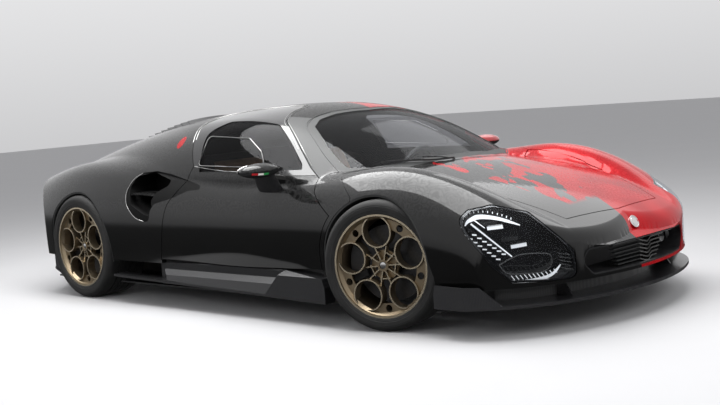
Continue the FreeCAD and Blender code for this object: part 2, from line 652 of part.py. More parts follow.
def side_skirt():
    """A blade along the sill's foot, the long scoop above it and the flat plate in front."""
    blade = side_prism([(930, 123), (930, 137), (-1034, 185), (-1034, 171)], 880, 985)
    side = [(880, 125), (880, 318), (948, 284), (944, 240), (972, 208), (982, 125)]
    scoop = cross_prism(side, -560, 600)
    scoop = scoop.common(side_prism([(-553, 176), (-545, 262), (-470, 279), (60, 290), (590, 287),
                                     (440, 142)], 800, 1000))
    scoop = scoop.common(plan_prism([(-553, 870), (-553, 925), (-500, 962), (-420, 1000),
                                     (600, 1000), (600, 870)], 100, 400))
    front = cross_prism([(880, 125), (880, 318), (950, 284), (984, 262), (984, 125)], 400, 930)
    front = front.common(side_prism([(440, 142), (590, 287), (930, 257), (930, 130)], 800, 1000))
    return blade.fuse([scoop, front]).removeSplitter()


def diffuser():
    """The rising floor behind the rear wheels, with upright fins and closed ends."""
    ramp = side_prism([(-1901, 112), (-1901, 122), (-2310, 292), (-2310, 282)], -840, 840)
    fins = [side_prism([(-1910, 118), (-2300, 150), (-2300, 283)], y - 6, y + 6)
            for y in (-560, -340, -115, 115, 340, 560)]
    ends = [side_prism([(-1901, 116), (-1880, 268), (-2240, 268)], y - 4, y + 4)
            for y in (-820, 820)]
    return ramp.fuse(fins + ends).common(plan_solid(-LIP)).removeSplitter()


def model():
    parts = bodywork()
    parts.update(structure())
    parts["wheel_liners"] = wheel_liners()
    parts.update(wheels())
    parts.update(cabin_fittings())
    parts.update(trim())
    for name in ("door", "door_window", "mirror"):
        parts[name + "_right"] = mirrored(parts[name + "_left"])
    return parts


if __name__ == "__main__":
    os.makedirs("parts", exist_ok=True)
    for name, shape in model().items():
        print(f"{name:22s} {shape.isValid()} {len(shape.Solids)} {shape.Volume / 1e6:9.2f}")
        shape.exportStep(f"parts/{name}.step")
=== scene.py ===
import math
import bmesh
import bpy
import numpy as np
from mathutils import Matrix, Vector
from mathutils.bvhtree import BVHTree


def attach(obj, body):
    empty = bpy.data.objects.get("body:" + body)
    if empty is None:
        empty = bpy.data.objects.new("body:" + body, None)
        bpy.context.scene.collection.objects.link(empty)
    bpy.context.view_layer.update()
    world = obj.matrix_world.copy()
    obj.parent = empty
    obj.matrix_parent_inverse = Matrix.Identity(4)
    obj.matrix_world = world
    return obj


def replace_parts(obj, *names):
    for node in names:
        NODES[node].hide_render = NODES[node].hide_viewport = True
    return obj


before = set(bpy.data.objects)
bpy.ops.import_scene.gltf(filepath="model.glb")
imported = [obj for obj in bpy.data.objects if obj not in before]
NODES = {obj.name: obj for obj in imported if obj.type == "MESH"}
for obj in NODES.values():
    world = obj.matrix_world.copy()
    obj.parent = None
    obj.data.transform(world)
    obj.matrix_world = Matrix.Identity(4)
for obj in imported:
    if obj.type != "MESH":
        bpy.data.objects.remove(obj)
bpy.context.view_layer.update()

# ---------------------------------------------------------------- body form
# The body is moulded carbon under a painted skin.  Its surface runs through the same
# cross-sections as the frame's panels, and is made here once as a smooth thin shell,
# which the next sections split where the panels meet.
MM = 0.001
SILL_Z = 0.120
PROUD = 0.0025                       # the painted skin stands this far off its panel
SKIN_DEEP = 0.0045                   # and is this thick,
FRONT_DEEP = 0.014                   # or this thick on the front clamshell

# Lower body half sections, mm: x, sill y, waist y z, shoulder y z, valley y z, centre z.
LOWER = np.array((
    (2360, 700, 800, 290, 715, 375, 470, 400, 392),
    (2150, 770, 850, 330, 770, 455, 500, 502, 518),
    (1850, 860, 915, 400, 832, 600, 530, 628, 650),
    (1550, 900, 950, 450, 862, 712, 560, 706, 732),
    (1270, 905, 966, 480, 868, 762, 585, 745, 785),
    (900, 890, 952, 500, 865, 745, 640, 770, 815),
    (450, 880, 940, 500, 862, 735, 660, 785, 820),
    (-200, 885, 938, 500, 850, 760, 640, 800, 830),
    (-700, 900, 955, 500, 862, 800, 620, 840, 850),
    (-1200, 915, 980, 510, 885, 810, 600, 875, 880),
    (-1650, 900, 972, 530, 865, 810, 590, 870, 880),
    (-2100, 820, 900, 560, 800, 760, 560, 815, 830),
    (-2380, 740, 820, 560, 730, 715, 520, 770, 790))) * MM
# Greenhouse half sections, mm: x, belt y z, rail y z, top z.
GREENHOUSE = np.array((
    (1150, 560, 700, 400, 750, 770),
    (900, 790, 745, 545, 850, 903),
    (600, 850, 775, 575, 985, 1058),
    (250, 860, 790, 560, 1092, 1160),
    (-200, 850, 800, 540, 1128, 1184),
    (-700, 830, 820, 520, 1098, 1160),
    (-1200, 780, 830, 470, 1042, 1097),
    (-1750, 680, 820, 400, 945, 988),
    (-2380, 540, 730, 300, 815, 838))) * MM
FOOT_Z = 0.5                         # the greenhouse runs down inside the lower body
RAY_Z = 0.0                          # sections are measured from this point on y = 0


def arc_from(start, along, end, steps):
    """Points on the arc that leaves start in direction along, and its end direction."""
    start, end = np.array(start), np.array(end)
    along = np.array(along) / np.linalg.norm(along)
    chord = end - start
    inward = chord - along * (chord @ along)
    inward /= np.linalg.norm(inward)
    radius = (chord @ chord) / (2 * chord @ inward)
    sweep = 2 * math.acos(min(1, chord @ along / np.linalg.norm(chord)))
    turn = np.linspace(0, sweep, steps + 1)[:, None]
    points = start + inward * radius * (1 - np.cos(turn)) + along * radius * np.sin(turn)
    return points, along * math.cos(sweep) + inward * math.sin(sweep)


def arc_over(side, top_z, steps):
    """Points on the arc from side (y, z) up to top_z on the centre line."""
    rise = top_z - side[1]
    radius = (side[0] ** 2 + rise ** 2) / (2 * rise)
    turn = np.linspace(math.asin(side[0] / radius), 0, steps + 1)
    return np.stack([radius * np.sin(turn), top_z - radius * (1 - np.cos(turn))], axis=1)


def lower_points(row):
    x, sill_y, waist_y, waist_z, shoulder_y, shoulder_z, valley_y, valley_z, top_z = row
    skirt, _ = arc_from((waist_y, waist_z), (0, -1), (sill_y, SILL_Z), 16)
    side, leaving = arc_from((waist_y, waist_z), (0, 1), (shoulder_y, shoulder_z), 20)
    crest, _ = arc_from((shoulder_y, shoulder_z), leaving, (valley_y, valley_z), 30)
    deck = arc_over((valley_y, valley_z), top_z, 20)
    return np.concatenate([skirt[::-1], side[1:], crest[1:], deck[1:]])


def greenhouse_points(row):
    x, belt_y, belt_z, rail_y, rail_z, top_z = row
    roof, leaving = arc_from((0, top_z), (1, 0), (rail_y, rail_z), 30)
    side, _ = arc_from((rail_y, rail_z), leaving, (belt_y, belt_z), 30)
    foot = np.linspace((belt_y, belt_z), (belt_y, FOOT_Z), 11)
    return np.concatenate([roof, side[1:], foot[1:]])[::-1]


def spline(knots, rows, x):
    """The natural cubic spline through rows at knots, read at x."""
    order = np.argsort(knots)
    k, y, h = knots[order], rows[order], np.diff(knots[order])
    n = len(k)
    grid, right = np.eye(n), np.zeros_like(y)
    for i in range(1, n - 1):
        grid[i, i - 1:i + 2] = h[i - 1], 2 * (h[i - 1] + h[i]), h[i]
        right[i] = 6 * ((y[i + 1] - y[i]) / h[i] - (y[i] - y[i - 1]) / h[i - 1])
    bend = np.tensordot(np.linalg.inv(grid), right, axes=1)
    i = np.clip(np.searchsorted(k, x) - 1, 0, n - 2)
    step = h[i][:, None, None]
    a = (k[i + 1] - x)[:, None, None] / step
    b = 1 - a
    sag = ((a ** 3 - a) * bend[i] + (b ** 3 - b) * bend[i + 1]) * step ** 2 / 6
    return a * y[i] + b * y[i + 1] + sag


def reach(points, angles):
    """How far a section stands from the ray point in each direction."""
    away = points - np.array((0, RAY_Z))
    bearing = np.unwrap(np.arctan2(away[:, 1], away[:, 0]))
    order = np.argsort(bearing)
    return np.interp(angles, bearing[order], np.hypot(*away.T)[order])


RAYS = 144
STATIONS = np.concatenate([np.arange(-2.36, 2.08, 0.020), np.arange(2.08, 2.3601, 0.006)])
LOWER_AT = spline(LOWER[:, 0], np.stack([lower_points(row) for row in LOWER]), STATIONS)
GREEN_AT = spline(GREENHOUSE[:, 0], np.stack([greenhouse_points(row) for row in GREENHOUSE]),
                  np.minimum(STATIONS, GREENHOUSE[0, 0]))


def body_rays():
    """(angle, distance) of the body's half section at every station."""
    rows = []
    for x, lower, green in zip(STATIONS, LOWER_AT, GREEN_AT):
        angles = np.linspace(math.atan2(SILL_Z - RAY_Z, lower[0, 0]), math.pi / 2, RAYS)
        body = reach(lower, angles)
        if x < GREENHOUSE[0, 0]:
            glass = reach(green, angles)
            # the sail panel flows into the haunch, while the belt line stays crisp
            blend = 0.006 + 0.05 * min(1, max(0, (-0.30 - x) / 0.5))
            near = np.maximum(blend - np.abs(body - glass), 0) / blend
            body = np.maximum(body, glass) + near * near * blend / 4
        rows.append(np.stack([angles, body], axis=1))
    return np.array(rows)


def made_of(name, verts, faces):
    """A mesh object whose faces point outwards."""
    mesh = bpy.data.meshes.new(name)
    mesh.from_pydata([tuple(v) for v in verts], [], faces)
    turned = bmesh.new()
    turned.from_mesh(mesh)
    bmesh.ops.recalc_face_normals(turned, faces=turned.faces)
    turned.to_mesh(mesh)
    turned.free()
    piece = bpy.data.objects.new(name, mesh)
    bpy.context.scene.collection.objects.link(piece)
    return piece


# Circles of the nose seen from above, centre x, y and radius, and the round of its edge.
NOSE_CIRCLES = ((0.8724, 0.0, 1.4296), (1.4818, 0.2580, 0.7685))
NOSE_ROUND = 0.055


def edge_drop(x, y, z, grow):
    """How far the nose's top edge rolls down towards the car's outline."""
    inside = np.min([r + grow - np.hypot(x - cx, np.abs(y) - cy) for cx, cy, r in NOSE_CIRCLES],
                    axis=0)
    left = np.clip(NOSE_ROUND - inside, 0, NOSE_ROUND)
    drop = NOSE_ROUND - np.sqrt(np.maximum(NOSE_ROUND ** 2 - left ** 2, 0))
    high = np.clip((z - 0.34) / 0.07, 0, 1) * (x > 1.64)
    return drop * high * high * (3 - 2 * high)


def closed_form(name, rays, grow, low_z):
    """A closed mesh of half sections and their mirror image, moved outwards by grow."""
    angles, away = rays[..., 0], rays[..., 1] + grow
    y, z = away * np.cos(angles), RAY_Z + away * np.sin(angles)
    z = z - edge_drop(STATIONS[:, None], y, z, grow)
    z[:, 0] = low_z
    ring_y = np.concatenate([y, -y[:, -2::-1]], axis=1)
    ring_z = np.concatenate([z, z[:, -2::-1]], axis=1)
    count, ring = ring_y.shape
    ring_x = np.repeat(STATIONS[:, None], ring, axis=1)
    verts = np.stack([ring_x, ring_y, ring_z], axis=2).reshape(-1, 3)
    i, j = np.meshgrid(np.arange(count - 1), np.arange(ring), indexing="ij")
    k = (j + 1) % ring
    quads = np.stack([i * ring + j, i * ring + k, (i + 1) * ring + k, (i + 1) * ring + j], axis=2)
    ends = [list(range(ring)), list(range((count - 1) * ring, count * ring))]
    return made_of(name, verts, quads.reshape(-1, 4).tolist() + ends)


def select_only(piece):
    bpy.ops.object.select_all(action="DESELECT")
    piece.select_set(True)
    bpy.context.view_layer.objects.active = piece


def apply_modifiers(piece):
    select_only(piece)
    for modifier in list(piece.modifiers):
        bpy.ops.object.modifier_apply(modifier=modifier.name)


def carve(piece, tool, operation="DIFFERENCE", keep_tool=False):
    """Cuts the tool out of a piece, or keeps what both hold."""
    cut = piece.modifiers.new("carve", "BOOLEAN")
    cut.solver = "MANIFOLD"
    cut.operation = operation
    cut.object = tool
    apply_modifiers(piece)
    if not keep_tool:
        bpy.data.objects.remove(tool)
    return piece


def copied(piece, name):
    twin = piece.copy()
    twin.data = piece.data.copy()
    twin.name = twin.data.name = name
    bpy.context.scene.collection.objects.link(twin)
    return twin


def mirrored(piece, name):
    """The same piece on the right-hand side."""
    twin = copied(piece, name)
    twin.data.transform(Matrix.Scale(-1, 4, (0, 1, 0)))
    twin.data.flip_normals()
    return twin


def prism(name, points, towards):
    """A closed prism: the outline points, swept along towards."""
    n = len(points)
    start = [Vector(p) for p in points]
    verts = start + [p + Vector(towards) for p in start]
    sides = [(i, (i + 1) % n, n + (i + 1) % n, n + i) for i in range(n)]
    return made_of(name, verts, [tuple(range(n)), tuple(range(n, 2 * n))] + sides)


def rounded(points, r, steps=6):
    """A closed outline with its corners rounded to r, or to what fits."""
    points = [Vector(p) for p in points]
    out = []
    for i, corner in enumerate(points):
        back = points[i - 1] - corner
        on = points[(i + 1) % len(points)] - corner
        half = back.angle(on) / 2
        trim = min(r / math.tan(half), 0.48 * back.length, 0.48 * on.length)
        back.normalize()
        on.normalize()
        radius = trim * math.tan(half)
        inward = (back + on).normalized()
        centre = corner + inward * (radius / math.sin(half))
        start, end = corner + back * trim - centre, corner + on * trim - centre
        sweep = start.angle(end)
        for k in range(steps + 1):
            a, b = math.sin(sweep * (1 - k / steps)), math.sin(sweep * k / steps)
            out.append(tuple(centre + (start * a + end * b) / math.sin(sweep)))
    return out


def plan_prism(points, z0, z1):
    """A prism whose outline from above is points (x, y), all in mm."""
    return prism("plan", [(x * MM, y * MM, z0 * MM) for x, y in points], (0, 0, (z1 - z0) * MM))


def side_prism(points, y0, y1):
    """A prism whose outline from the side is points (x, z), all in mm."""
    return prism("side", [(x * MM, y0 * MM, z * MM) for x, z in points], (0, (y1 - y0) * MM, 0))


def cross_prism(points, x0, x1):
    """A prism whose outline from the front is points (y, z), all in mm."""
    return prism("cross", [(x0 * MM, y * MM, z * MM) for y, z in points], ((x1 - x0) * MM, 0, 0))


def block(x0, x1, y0, y1, z0, z1):
    return plan_prism([(x0, y0), (x1, y0), (x1, y1), (x0, y1)], z0, z1)


def both_sides(tool):
    """A tool joined with its mirror image, which it doesn't touch."""
    twin = mirrored(tool, "twin")
    select_only(tool)
    twin.select_set(True)
    bpy.ops.object.join()
    return tool


def arc_through(a, b, c, steps):
    """Points (x, y) on the arc through three points."""
    (ax, ay), (bx, by), (cx, cy) = a, b, c
    d = 2 * (ax * (by - cy) + bx * (cy - ay) + cx * (ay - by))
    a2, b2, c2 = ax * ax + ay * ay, bx * bx + by * by, cx * cx + cy * cy
    ox = (a2 * (by - cy) + b2 * (cy - ay) + c2 * (ay - by)) / d
    oy = (a2 * (cx - bx) + b2 * (ax - cx) + c2 * (bx - ax)) / d
    start = math.atan2(ay - oy, ax - ox)
    sweep = (math.atan2(cy - oy, cx - ox) - start + math.pi) % (2 * math.pi) - math.pi
    r = math.hypot(ax - ox, ay - oy)
    return [(ox + r * math.cos(start + sweep * k / steps), oy + r * math.sin(start + sweep * k / steps))
            for k in range(steps + 1)]


def plan_outline(grow):
    """The car's outline from above, mm, with its bowed nose and tail."""
    slant = 0.7 * grow
    front = arc_through((2170 + slant, 600), (1995 + slant, 830 + slant), (1640, 1010 + grow), 24)
    rear = arc_through((-1750, 1010 + grow), (-2040 - slant, 820 + slant), (-2190 - slant, 600), 24)
    nose = arc_through((2170 + slant, -600), (2302 + grow, 0), (2170 + slant, 600), 48)
    tail = arc_through((-2190 - slant, 600), (-2320 - grow, 0), (-2190 - slant, -600), 48)
    right = [(x, -y) for x, y in reversed(front + rear)]
    return nose[:-1] + front + rear[:-1] + tail[:-1] + right[:-1]


def body_form(grow, low_z):
    form = closed_form("form", body_rays(), grow, low_z)
    return carve(form, plan_prism(plan_outline(grow / MM), -500, 2000), "INTERSECT")


form = body_form(PROUD, SILL_Z)
skin = carve(copied(form, "skin"), body_form(PROUD - SKIN_DEEP, 0.05))
thick = carve(copied(form, "thick"), body_form(PROUD - FRONT_DEEP, 0.05))


# ---------------------------------------------------------------- shut lines
# Doors, lids and clamshells are moulded carbon skins, cut from the one form with 5 mm gaps
# round what opens.  The door's shut faces lean, so that it lifts clear of what stands round it.
GAP = 5
PILLAR = [(787, 820), (692, 788), (550, 719), (371, 620), (260, 544), (172, 406), (117, 247)]
ROOF = [(60, 200), (-123, 237), (-424, 316), (-500, 435)]
ARCHES = ((1270, 340, 364), (-1430, 346, 370))         # x, z and radius of the wheel openings


def whole(half):
    """A left half outline closed by its mirror image."""
    return half + [(x, -y) for x, y in reversed(half) if y]


def offset(points, by):
    """A closed outline moved outwards, its corners mitred."""
    points = np.array(points, float)
    ahead = np.roll(points, -1, axis=0) - points
    ahead /= np.linalg.norm(ahead, axis=1)[:, None]
    area = np.sum(points[:, 0] * np.roll(points[:, 1], -1) - points[:, 1] * np.roll(points[:, 0], -1))
    out = np.stack([ahead[:, 1], -ahead[:, 0]], axis=1) * np.sign(area)
    before = np.roll(out, 1, axis=0)
    mitre = (out + before) / (1 + np.sum(out * before, axis=1))[:, None]
    return [tuple(p) for p in points + by * mitre]


def beyond(point, normal, grow=0):
    """A great block on the side of a plane that its normal points to."""
    slab = block(-6000, 6000, -6000, 6000, 0, 6000)
    normal = Vector(normal).normalized()
    turn = normal.to_track_quat("Z", "Y").to_matrix().to_4x4()
    slab.data.transform(Matrix.Translation((Vector(point) + normal * grow) * MM) @ turn)
    return slab


def across(x, z, r, y0, y1, sides=128):
    """A cylinder along the axles, mm."""
    ring = [(x + r * math.cos(math.tau * k / sides), z + r * math.sin(math.tau * k / sides))
            for k in range(sides)]
    return side_prism(ring, y0, y1)


def door_region(grow):
    """The left door's space; each face leans so that the door lifts clear of it."""
    seam = PILLAR + ROOF + [(-600, 600), (-600, 1100), (787, 1100)]
    high = plan_prism(offset(seam, grow), 700, 1400)
    carve(high, beyond((-286, 832, 870), (-0.875, 0.16, -0.457), grow))
    side = [(787, 777), (808, 711), (884, 648), (1000, 570), (1000, 100), (-700, 100),
            (-700, 872), (-100, 872), (0, 720), (765, 720)]
    low = side_prism(offset(side, grow), 640, 1140)
    inboard = beyond((787, 820, 777), (0.464, -0.886, 0), grow)
    carve(low, carve(inboard, block(-1000, 830, 0, 1200, 700, 1500), "INTERSECT"))
    for point, normal in (((-470, 940, 640), (-0.931, -0.286, 0.228)),
                          ((-275, 832, 870), (-0.77, -0.46, 0.44)),
                          ((0, 812, 362), (0, -0.447, -0.894))):
        carve(low, beyond(point, normal, grow))
    x, z, r = ARCHES[0]
    carve(low, across(x, z, r + 32 - grow, 600, 1200))
    return carve(high, low, "UNION")


def taken(piece, tool, name):
    """What lies in the tool, as a new piece; the first piece loses it."""
    inside = carve(copied(piece, name), tool, "INTERSECT", keep_tool=True)
    carve(piece, tool)
    return inside


WINDOW = [(650, 900), (650, 795), (560, 752), (380, 662), (265, 602), (-170, 600), (-285, 700),
          (-240, 800), (-200, 900)]
BELT = [(-700, 884), (-275, 862), (-168, 849), (26, 831), (163, 826), (516, 802), (750, 796)]
SCREEN = [(385, 0), (352, 265), (364, 426), (429, 541), (658, 667), (813, 721),
          (900, 722), (1000, 600), (1060, 400), (1085, 0)]
PILLAR_BAND = PILLAR[:5] + [(215, 485), (364, 426), (429, 541), (658, 667), (813, 721)]
HOOD = [(1130, 0), (1130, 650), (1500, 590), (1850, 510), (2100, 430), (2130, 0)]
LID = [(-705, 0), (-705, 395), (-1990, 425), (-1990, 0)]
HEADLIGHT = [(-615, 580), (-667, 624), (-787, 639), (-964, 589), (-1102, 455), (-1160, 390),
             (-1169, 264), (-1021, 264), (-838, 272), (-748, 360), (-640, 511)]
MOUTH = [(455, 394), (490, 330), (430, 260), (-430, 260), (-490, 330), (-455, 394)]
INTAKE = [(-128, 728), (-307, 773), (-500, 818), (-650, 838), (-790, 830), (-872, 770), (-890, 690),
          (-856, 620), (-775, 552), (-690, 530), (-640, 534), (-628, 600), (-596, 640), (-429, 676),
          (-299, 718)]
COWL = [(100, 0)] + PILLAR[::-1] + [(787, 1100), (930, 1100), (934, 763), (1120, 655), (1140, 0)]
COWL_FOOT = [(700, 872), (934, 808), (1026, 749), (1106, 689), (1140, 560), (1100, 400),
             (1000, 100), (600, 100), (600, 560)]
VIEW = Vector((0.716, 0.698, 0))     # the lamps are cut along this line
ACROSS_VIEW = Vector((-0.698, 0.716, 0))


def lamp_prism(start, shrink=0.0):
    """The left headlight's outline swept outwards along its line of sight."""
    middle = Vector(np.mean(HEADLIGHT, axis=0))
    flat = rounded([middle + (Vector(p) - middle) * (1 - shrink / 150) for p in HEADLIGHT], 40)
    points = [(ACROSS_VIEW * s + Vector((0, 0, z)) + VIEW * start) * MM for s, z in flat]
    return prism("lamp", points, VIEW * (3000 - start) * MM)


def wheel_openings(piece):
    for x, z, r in ARCHES:
        carve(piece, both_sides(across(x, z, r, 640, 1200)))
    down = [(1400, 385), (1631, 385), (1655, 300), (1660, 50), (1400, 50)]
    return carve(piece, both_sides(side_prism(down, 700, 1200)))


def cowl_tool(ahead):
    """The windscreen's surround and the strips down to the sill, moved ahead."""
    tool = both_sides(side_prism(COWL_FOOT, 740, 1200))
    carve(tool, plan_prism(whole(COWL), 500, 1400), "UNION")
    tool.data.transform(Matrix.Translation((ahead * MM, 0, 0)))
    return tool


panels = {}
door = carve(copied(skin, "door_left_skin"), door_region(0), "INTERSECT")
carve(door, plan_prism(rounded(WINDOW, 60), 828, 1300))
scoop = both_sides(side_prism(rounded(INTAKE, 24), 700, 1200))
carve(door, scoop, keep_tool=True)
frame_left = taken(door, side_prism(BELT + [(1000, 796), (1000, 1400), (-700, 1400)], 100, 1200),
                   "door_frame_left")
for name, panel in (("door_left_skin", door), ("door_frame_left", frame_left)):
    twin = name.replace("left", "right")
    panels[name] = (panel, "door_left")
    panels[twin] = (mirrored(panel, twin), "door_right")
openings = both_sides(door_region(GAP))
fixed = wheel_openings(carve(skin, openings, keep_tool=True))
front = wheel_openings(carve(thick, openings))
screen_edge = taken(fixed, plan_prism(whole(SCREEN), 600, 1400), "screen_edge")
carve(screen_edge, plan_prism(offset(whole(SCREEN), -46), 600, 1400))
screen_edge.data.transform(Matrix.Translation((0, 0, -0.002)))
pillar = taken(fixed, both_sides(plan_prism(PILLAR_BAND, 700, 1300)), "pillar_skin")
for name, outline, z0, z1 in (("hood", HOOD, 450, 1000), ("engine_lid", LID, 820, 1400)):
    panel = carve(copied(fixed, name + "_skin"), plan_prism(whole(outline), z0, z1), "INTERSECT")
    panels[name + "_skin"] = (panel, name)
    hole = plan_prism(offset(whole(outline), GAP), z0, z1)
    carve(front, hole, keep_tool=True)
    carve(fixed, hole)
lens = carve(copied(fixed, "headlight_lenses"), both_sides(lamp_prism(1500)), "INTERSECT")
carve(fixed, scoop)
# The skin ends above the side skirts, the rear floor and the diffuser.
SKIRT_TOP, FLOOR_TOP, DIFFUSER_TOP = 312, 272, 300
carve(fixed, both_sides(block(-553, 878, 700, 1200, 0, SKIRT_TOP)))
carve(fixed, block(-1995, -553, -1200, 1200, 0, FLOOR_TOP))
carve(fixed, block(-2600, -1990, -1200, 1200, 0, DIFFUSER_TOP))
TAIL_PANEL = [(-815, 740), (815, 740), (740, 600), (-740, 600)]
EXHAUST_PANEL = [(-300, 470), (300, 470), (270, 345), (-270, 345)]
for outline, r in ((TAIL_PANEL, 30), (EXHAUST_PANEL, 40)):
    carve(fixed, cross_prism(rounded(outline, r), -2600, -2030))
ahead = carve(block(860, 2600, -1200, 1200, 0, 1000), cowl_tool(0))
carve(fixed, ahead, keep_tool=True)
carve(front, ahead, "INTERSECT")
for tool in (cowl_tool(4), both_sides(lamp_prism(1500, -1)), cross_prism(rounded(MOUTH, 45), 1900, 2600),
             block(1400, 2600, -1200, 1200, 0, 246)):
    carve(front, tool)
bumper = taken(front, carve(block(1400, 2600, -1200, 1200, 0, 285),
                            block(2105, 2600, -1200, 1200, 0, 700), "UNION"), "front_bumper_skin")
panels["front_bumper_skin"] = (bumper, "chassis")
front.name = front.data.name = "front_fender_skin"
panels["front_fender_skin"] = (front, "chassis")
panels["body_skin"] = (fixed, "chassis")
panels["pillar_skin"] = (pillar, "chassis")
panels["screen_edge"] = (screen_edge, "chassis")


# ---------------------------------------------------------------- paint
# Black lacquer under a printed film on the right and middle of the car, candy red on the
# left of the nose, with drops of red running over the bonnet.  The film's lighter print is
# painted only on the upper body, where highlights fall, so there it is partly painted
# highlight.  Clear coat covers it all.
# The door frames are black glass and the windscreen pillars are satin bands.
class Wire:
    """A shader socket: sums and products of wires and numbers add their Math nodes."""

    def __init__(self, tree, socket=None):
        self.tree, self.socket = tree, socket

    def node(self, kind, settings, inputs, output=0):
        """A node of a kind: its settings first, then its sockets' values or links."""
        made = self.tree.nodes.new("ShaderNode" + kind)
        for name, value in settings.items():
            if name == "stops":
                ramp = made.color_ramp
                while len(ramp.elements) < len(value):
                    ramp.elements.new(0.5)
                for element, (place, colour) in zip(ramp.elements, value):
                    element.position, element.color = place, colour
            else:
                setattr(made, name, value)
        for name, value in inputs.items():
            if isinstance(value, Wire):
                self.tree.links.new(value.socket, made.inputs[name])
            else:
                made.inputs[name].default_value = value
        return Wire(self.tree, made.outputs[output])

    def math(self, operation, *values):
        return self.node("Math", {"operation": operation}, dict(enumerate(values)))

    def __add__(self, other): return self.math("ADD", self, other)
    def __radd__(self, other): return self.math("ADD", other, self)
    def __sub__(self, other): return self.math("SUBTRACT", self, other)
    def __rsub__(self, other): return self.math("SUBTRACT", other, self)
    def __mul__(self, other): return self.math("MULTIPLY", self, other)
    def __rmul__(self, other): return self.math("MULTIPLY", other, self)

    def most(self, other): return self.math("MAXIMUM", self, other)
    def size(self): return self.math("ABSOLUTE", self)
    def power(self, n): return self.math("POWER", self, n)
    def sine(self): return self.math("SINE", self)

    def step(self, low, high):
        """0 below low and 1 above high, with a smooth rise between."""
        settings = {"interpolation_type": "SMOOTHSTEP"}
        return self.node("MapRange", settings, {0: self, 1: low, 2: high, 3: 0.0, 4: 1.0})

    def part(self, axis):
        return self.node("SeparateXYZ", {}, {0: self}, axis)

    def scaled(self, x, y, z):
        return self.node("VectorMath", {"operation": "MULTIPLY"}, {0: self, 1: (x, y, z)})

    def moved(self, other):
        return self.node("VectorMath", {"operation": "ADD"}, {0: self, 1: other})

    def turned(self, x, y, z):
        return self.node("Mapping", {}, {0: self, 2: (x, y, z)})

    def noise(self, scale, detail=2.0, rough=0.5, bend=0.0):
        return self.node("TexNoise", {}, {"Vector": self, "Scale": scale, "Detail": detail,
                                          "Roughness": rough, "Distortion": bend})

    def cells(self, scale):
        return self.node("TexVoronoi", {}, {"Vector": self, "Scale": scale}, "Distance")

    def mix(self, low, high):
        """low where this is 0, high where it is 1; both are colours."""
        return self.node("Mix", {"data_type": "RGBA"}, {0: self, 6: low, 7: high}, 2)

    def bump(self, depth, strength=1.0):
        return self.node("Bump", {}, {"Strength": strength, "Distance": depth, "Height": self})


def finish(name, varying, **fixed):
    """A material: fixed values sit on the shader's sockets, varying(place) gives the rest."""
    made = bpy.data.materials.new(name)
    made.use_nodes = True
    tree = made.node_tree
    shader = tree.nodes["Principled BSDF"]
    for socket, value in fixed.items():
        shader.inputs[socket.replace("_", " ")].default_value = value
    place = Wire(tree).node("TexCoord", {}, {}, "Object")
    for socket, wire in varying(place).items():
        tree.links.new(wire.socket, shader.inputs[socket])
    return made


BLACK = (0.0035, 0.0035, 0.0035, 1)
# The print's lighter tone; laid only on the upper body, it is partly print and partly painted highlight.
FILM_LIGHT = (0.028, 0.028, 0.028, 1)
RED = (0.46, 0.004, 0.008, 1)
RED_DEEP = (0.33, 0.002, 0.006, 1)


def scrolls(place):
    """The film's print: broken rings and leaves round scattered centres, 0 to 1."""
    cloud = place.node("TexNoise", {}, {"Vector": place, "Scale": 14.0}, 1)
    wander = cloud.node("VectorMath", {"operation": "SCALE"}, {0: cloud, "Scale": 0.035})
    bent = place.moved(wander)
    ring = (bent.cells(11.0) * 34.0).sine()
    leaf = (bent.cells(26.0) * 22.0).sine()
    broken = place.noise(21.0, 1.0)
    return (ring * broken.step(0.36, 0.50)).most(leaf * broken.step(0.60, 0.48)).step(0.15, 0.45)


SEAM_X, SEAM_LEFT, SEAM_SLOPE = 1.073, 0.335, 0.36     # the livery's edge at the screen's foot


def red_side(place):
    """1 left of the livery's edge: from the screen's foot past the badge to the nose."""
    x, y, z = place.part("X"), place.part("Y"), place.part("Z")
    sway = (x * 3.4 - 0.6).sine() * 0.022
    edge = SEAM_LEFT - (x - SEAM_X) * SEAM_SLOPE + sway
    left = (y - edge).step(-0.001, 0.001)
    rear = (x - 0.62 - (z * 7.0).sine() * 0.10 - (z * 17.0).sine() * 0.03).step(-0.001, 0.001)
    front = x.step(0.90, 0.901)
    return left * rear.most(front)


DROPS_FROM, DROPS_TO, DROPS_RIGHT = 1.05, 2.03, 0.33   # along the bonnet, and right of its middle


def red_drops(place):
    """Red drops and runs on the bonnet, thinning out towards the right."""
    x, y = place.part("X"), place.part("Y")
    long_way = place.turned(0, 0, 0.36).scaled(1.0, 2.3, 0.0)
    field = long_way.noise(5.2, 1.4, 0.45, 0.35)
    spread = (y + 0.20 + (x - 1.3) * 0.42).step(-0.10, 0.45)
    within = (x - DROPS_FROM).step(0.0, 0.06) * (DROPS_TO - x).step(0.0, 0.05)
    drops = (field + spread * 0.16 - 0.615).step(-0.003, 0.003)
    return drops * within * (y + DROPS_RIGHT).step(-0.001, 0.001)


def roof_patch(place):
    """The red patch on the left front of the roof."""
    x, y, z = place.part("X"), place.part("Y"), place.part("Z")
    edge = (x * 9.0).sine() * 0.03
    return (y - 0.06 - edge).step(-0.001, 0.001) * (x - 0.06).step(-0.001, 0.001) * z.step(1.0, 1.001)


DOT_X, DOT_Z = -0.523, 1.005


def side_dot(place):
    """A round red mark on each rear quarter."""
    x, z = place.part("X"), place.part("Z")
    away = (x - DOT_X).power(2.0) + (z - DOT_Z).power(2.0)
    return away.step(0.0012, 0.00118) * (place.part("Y").size() - 0.6).step(0, 0.01)


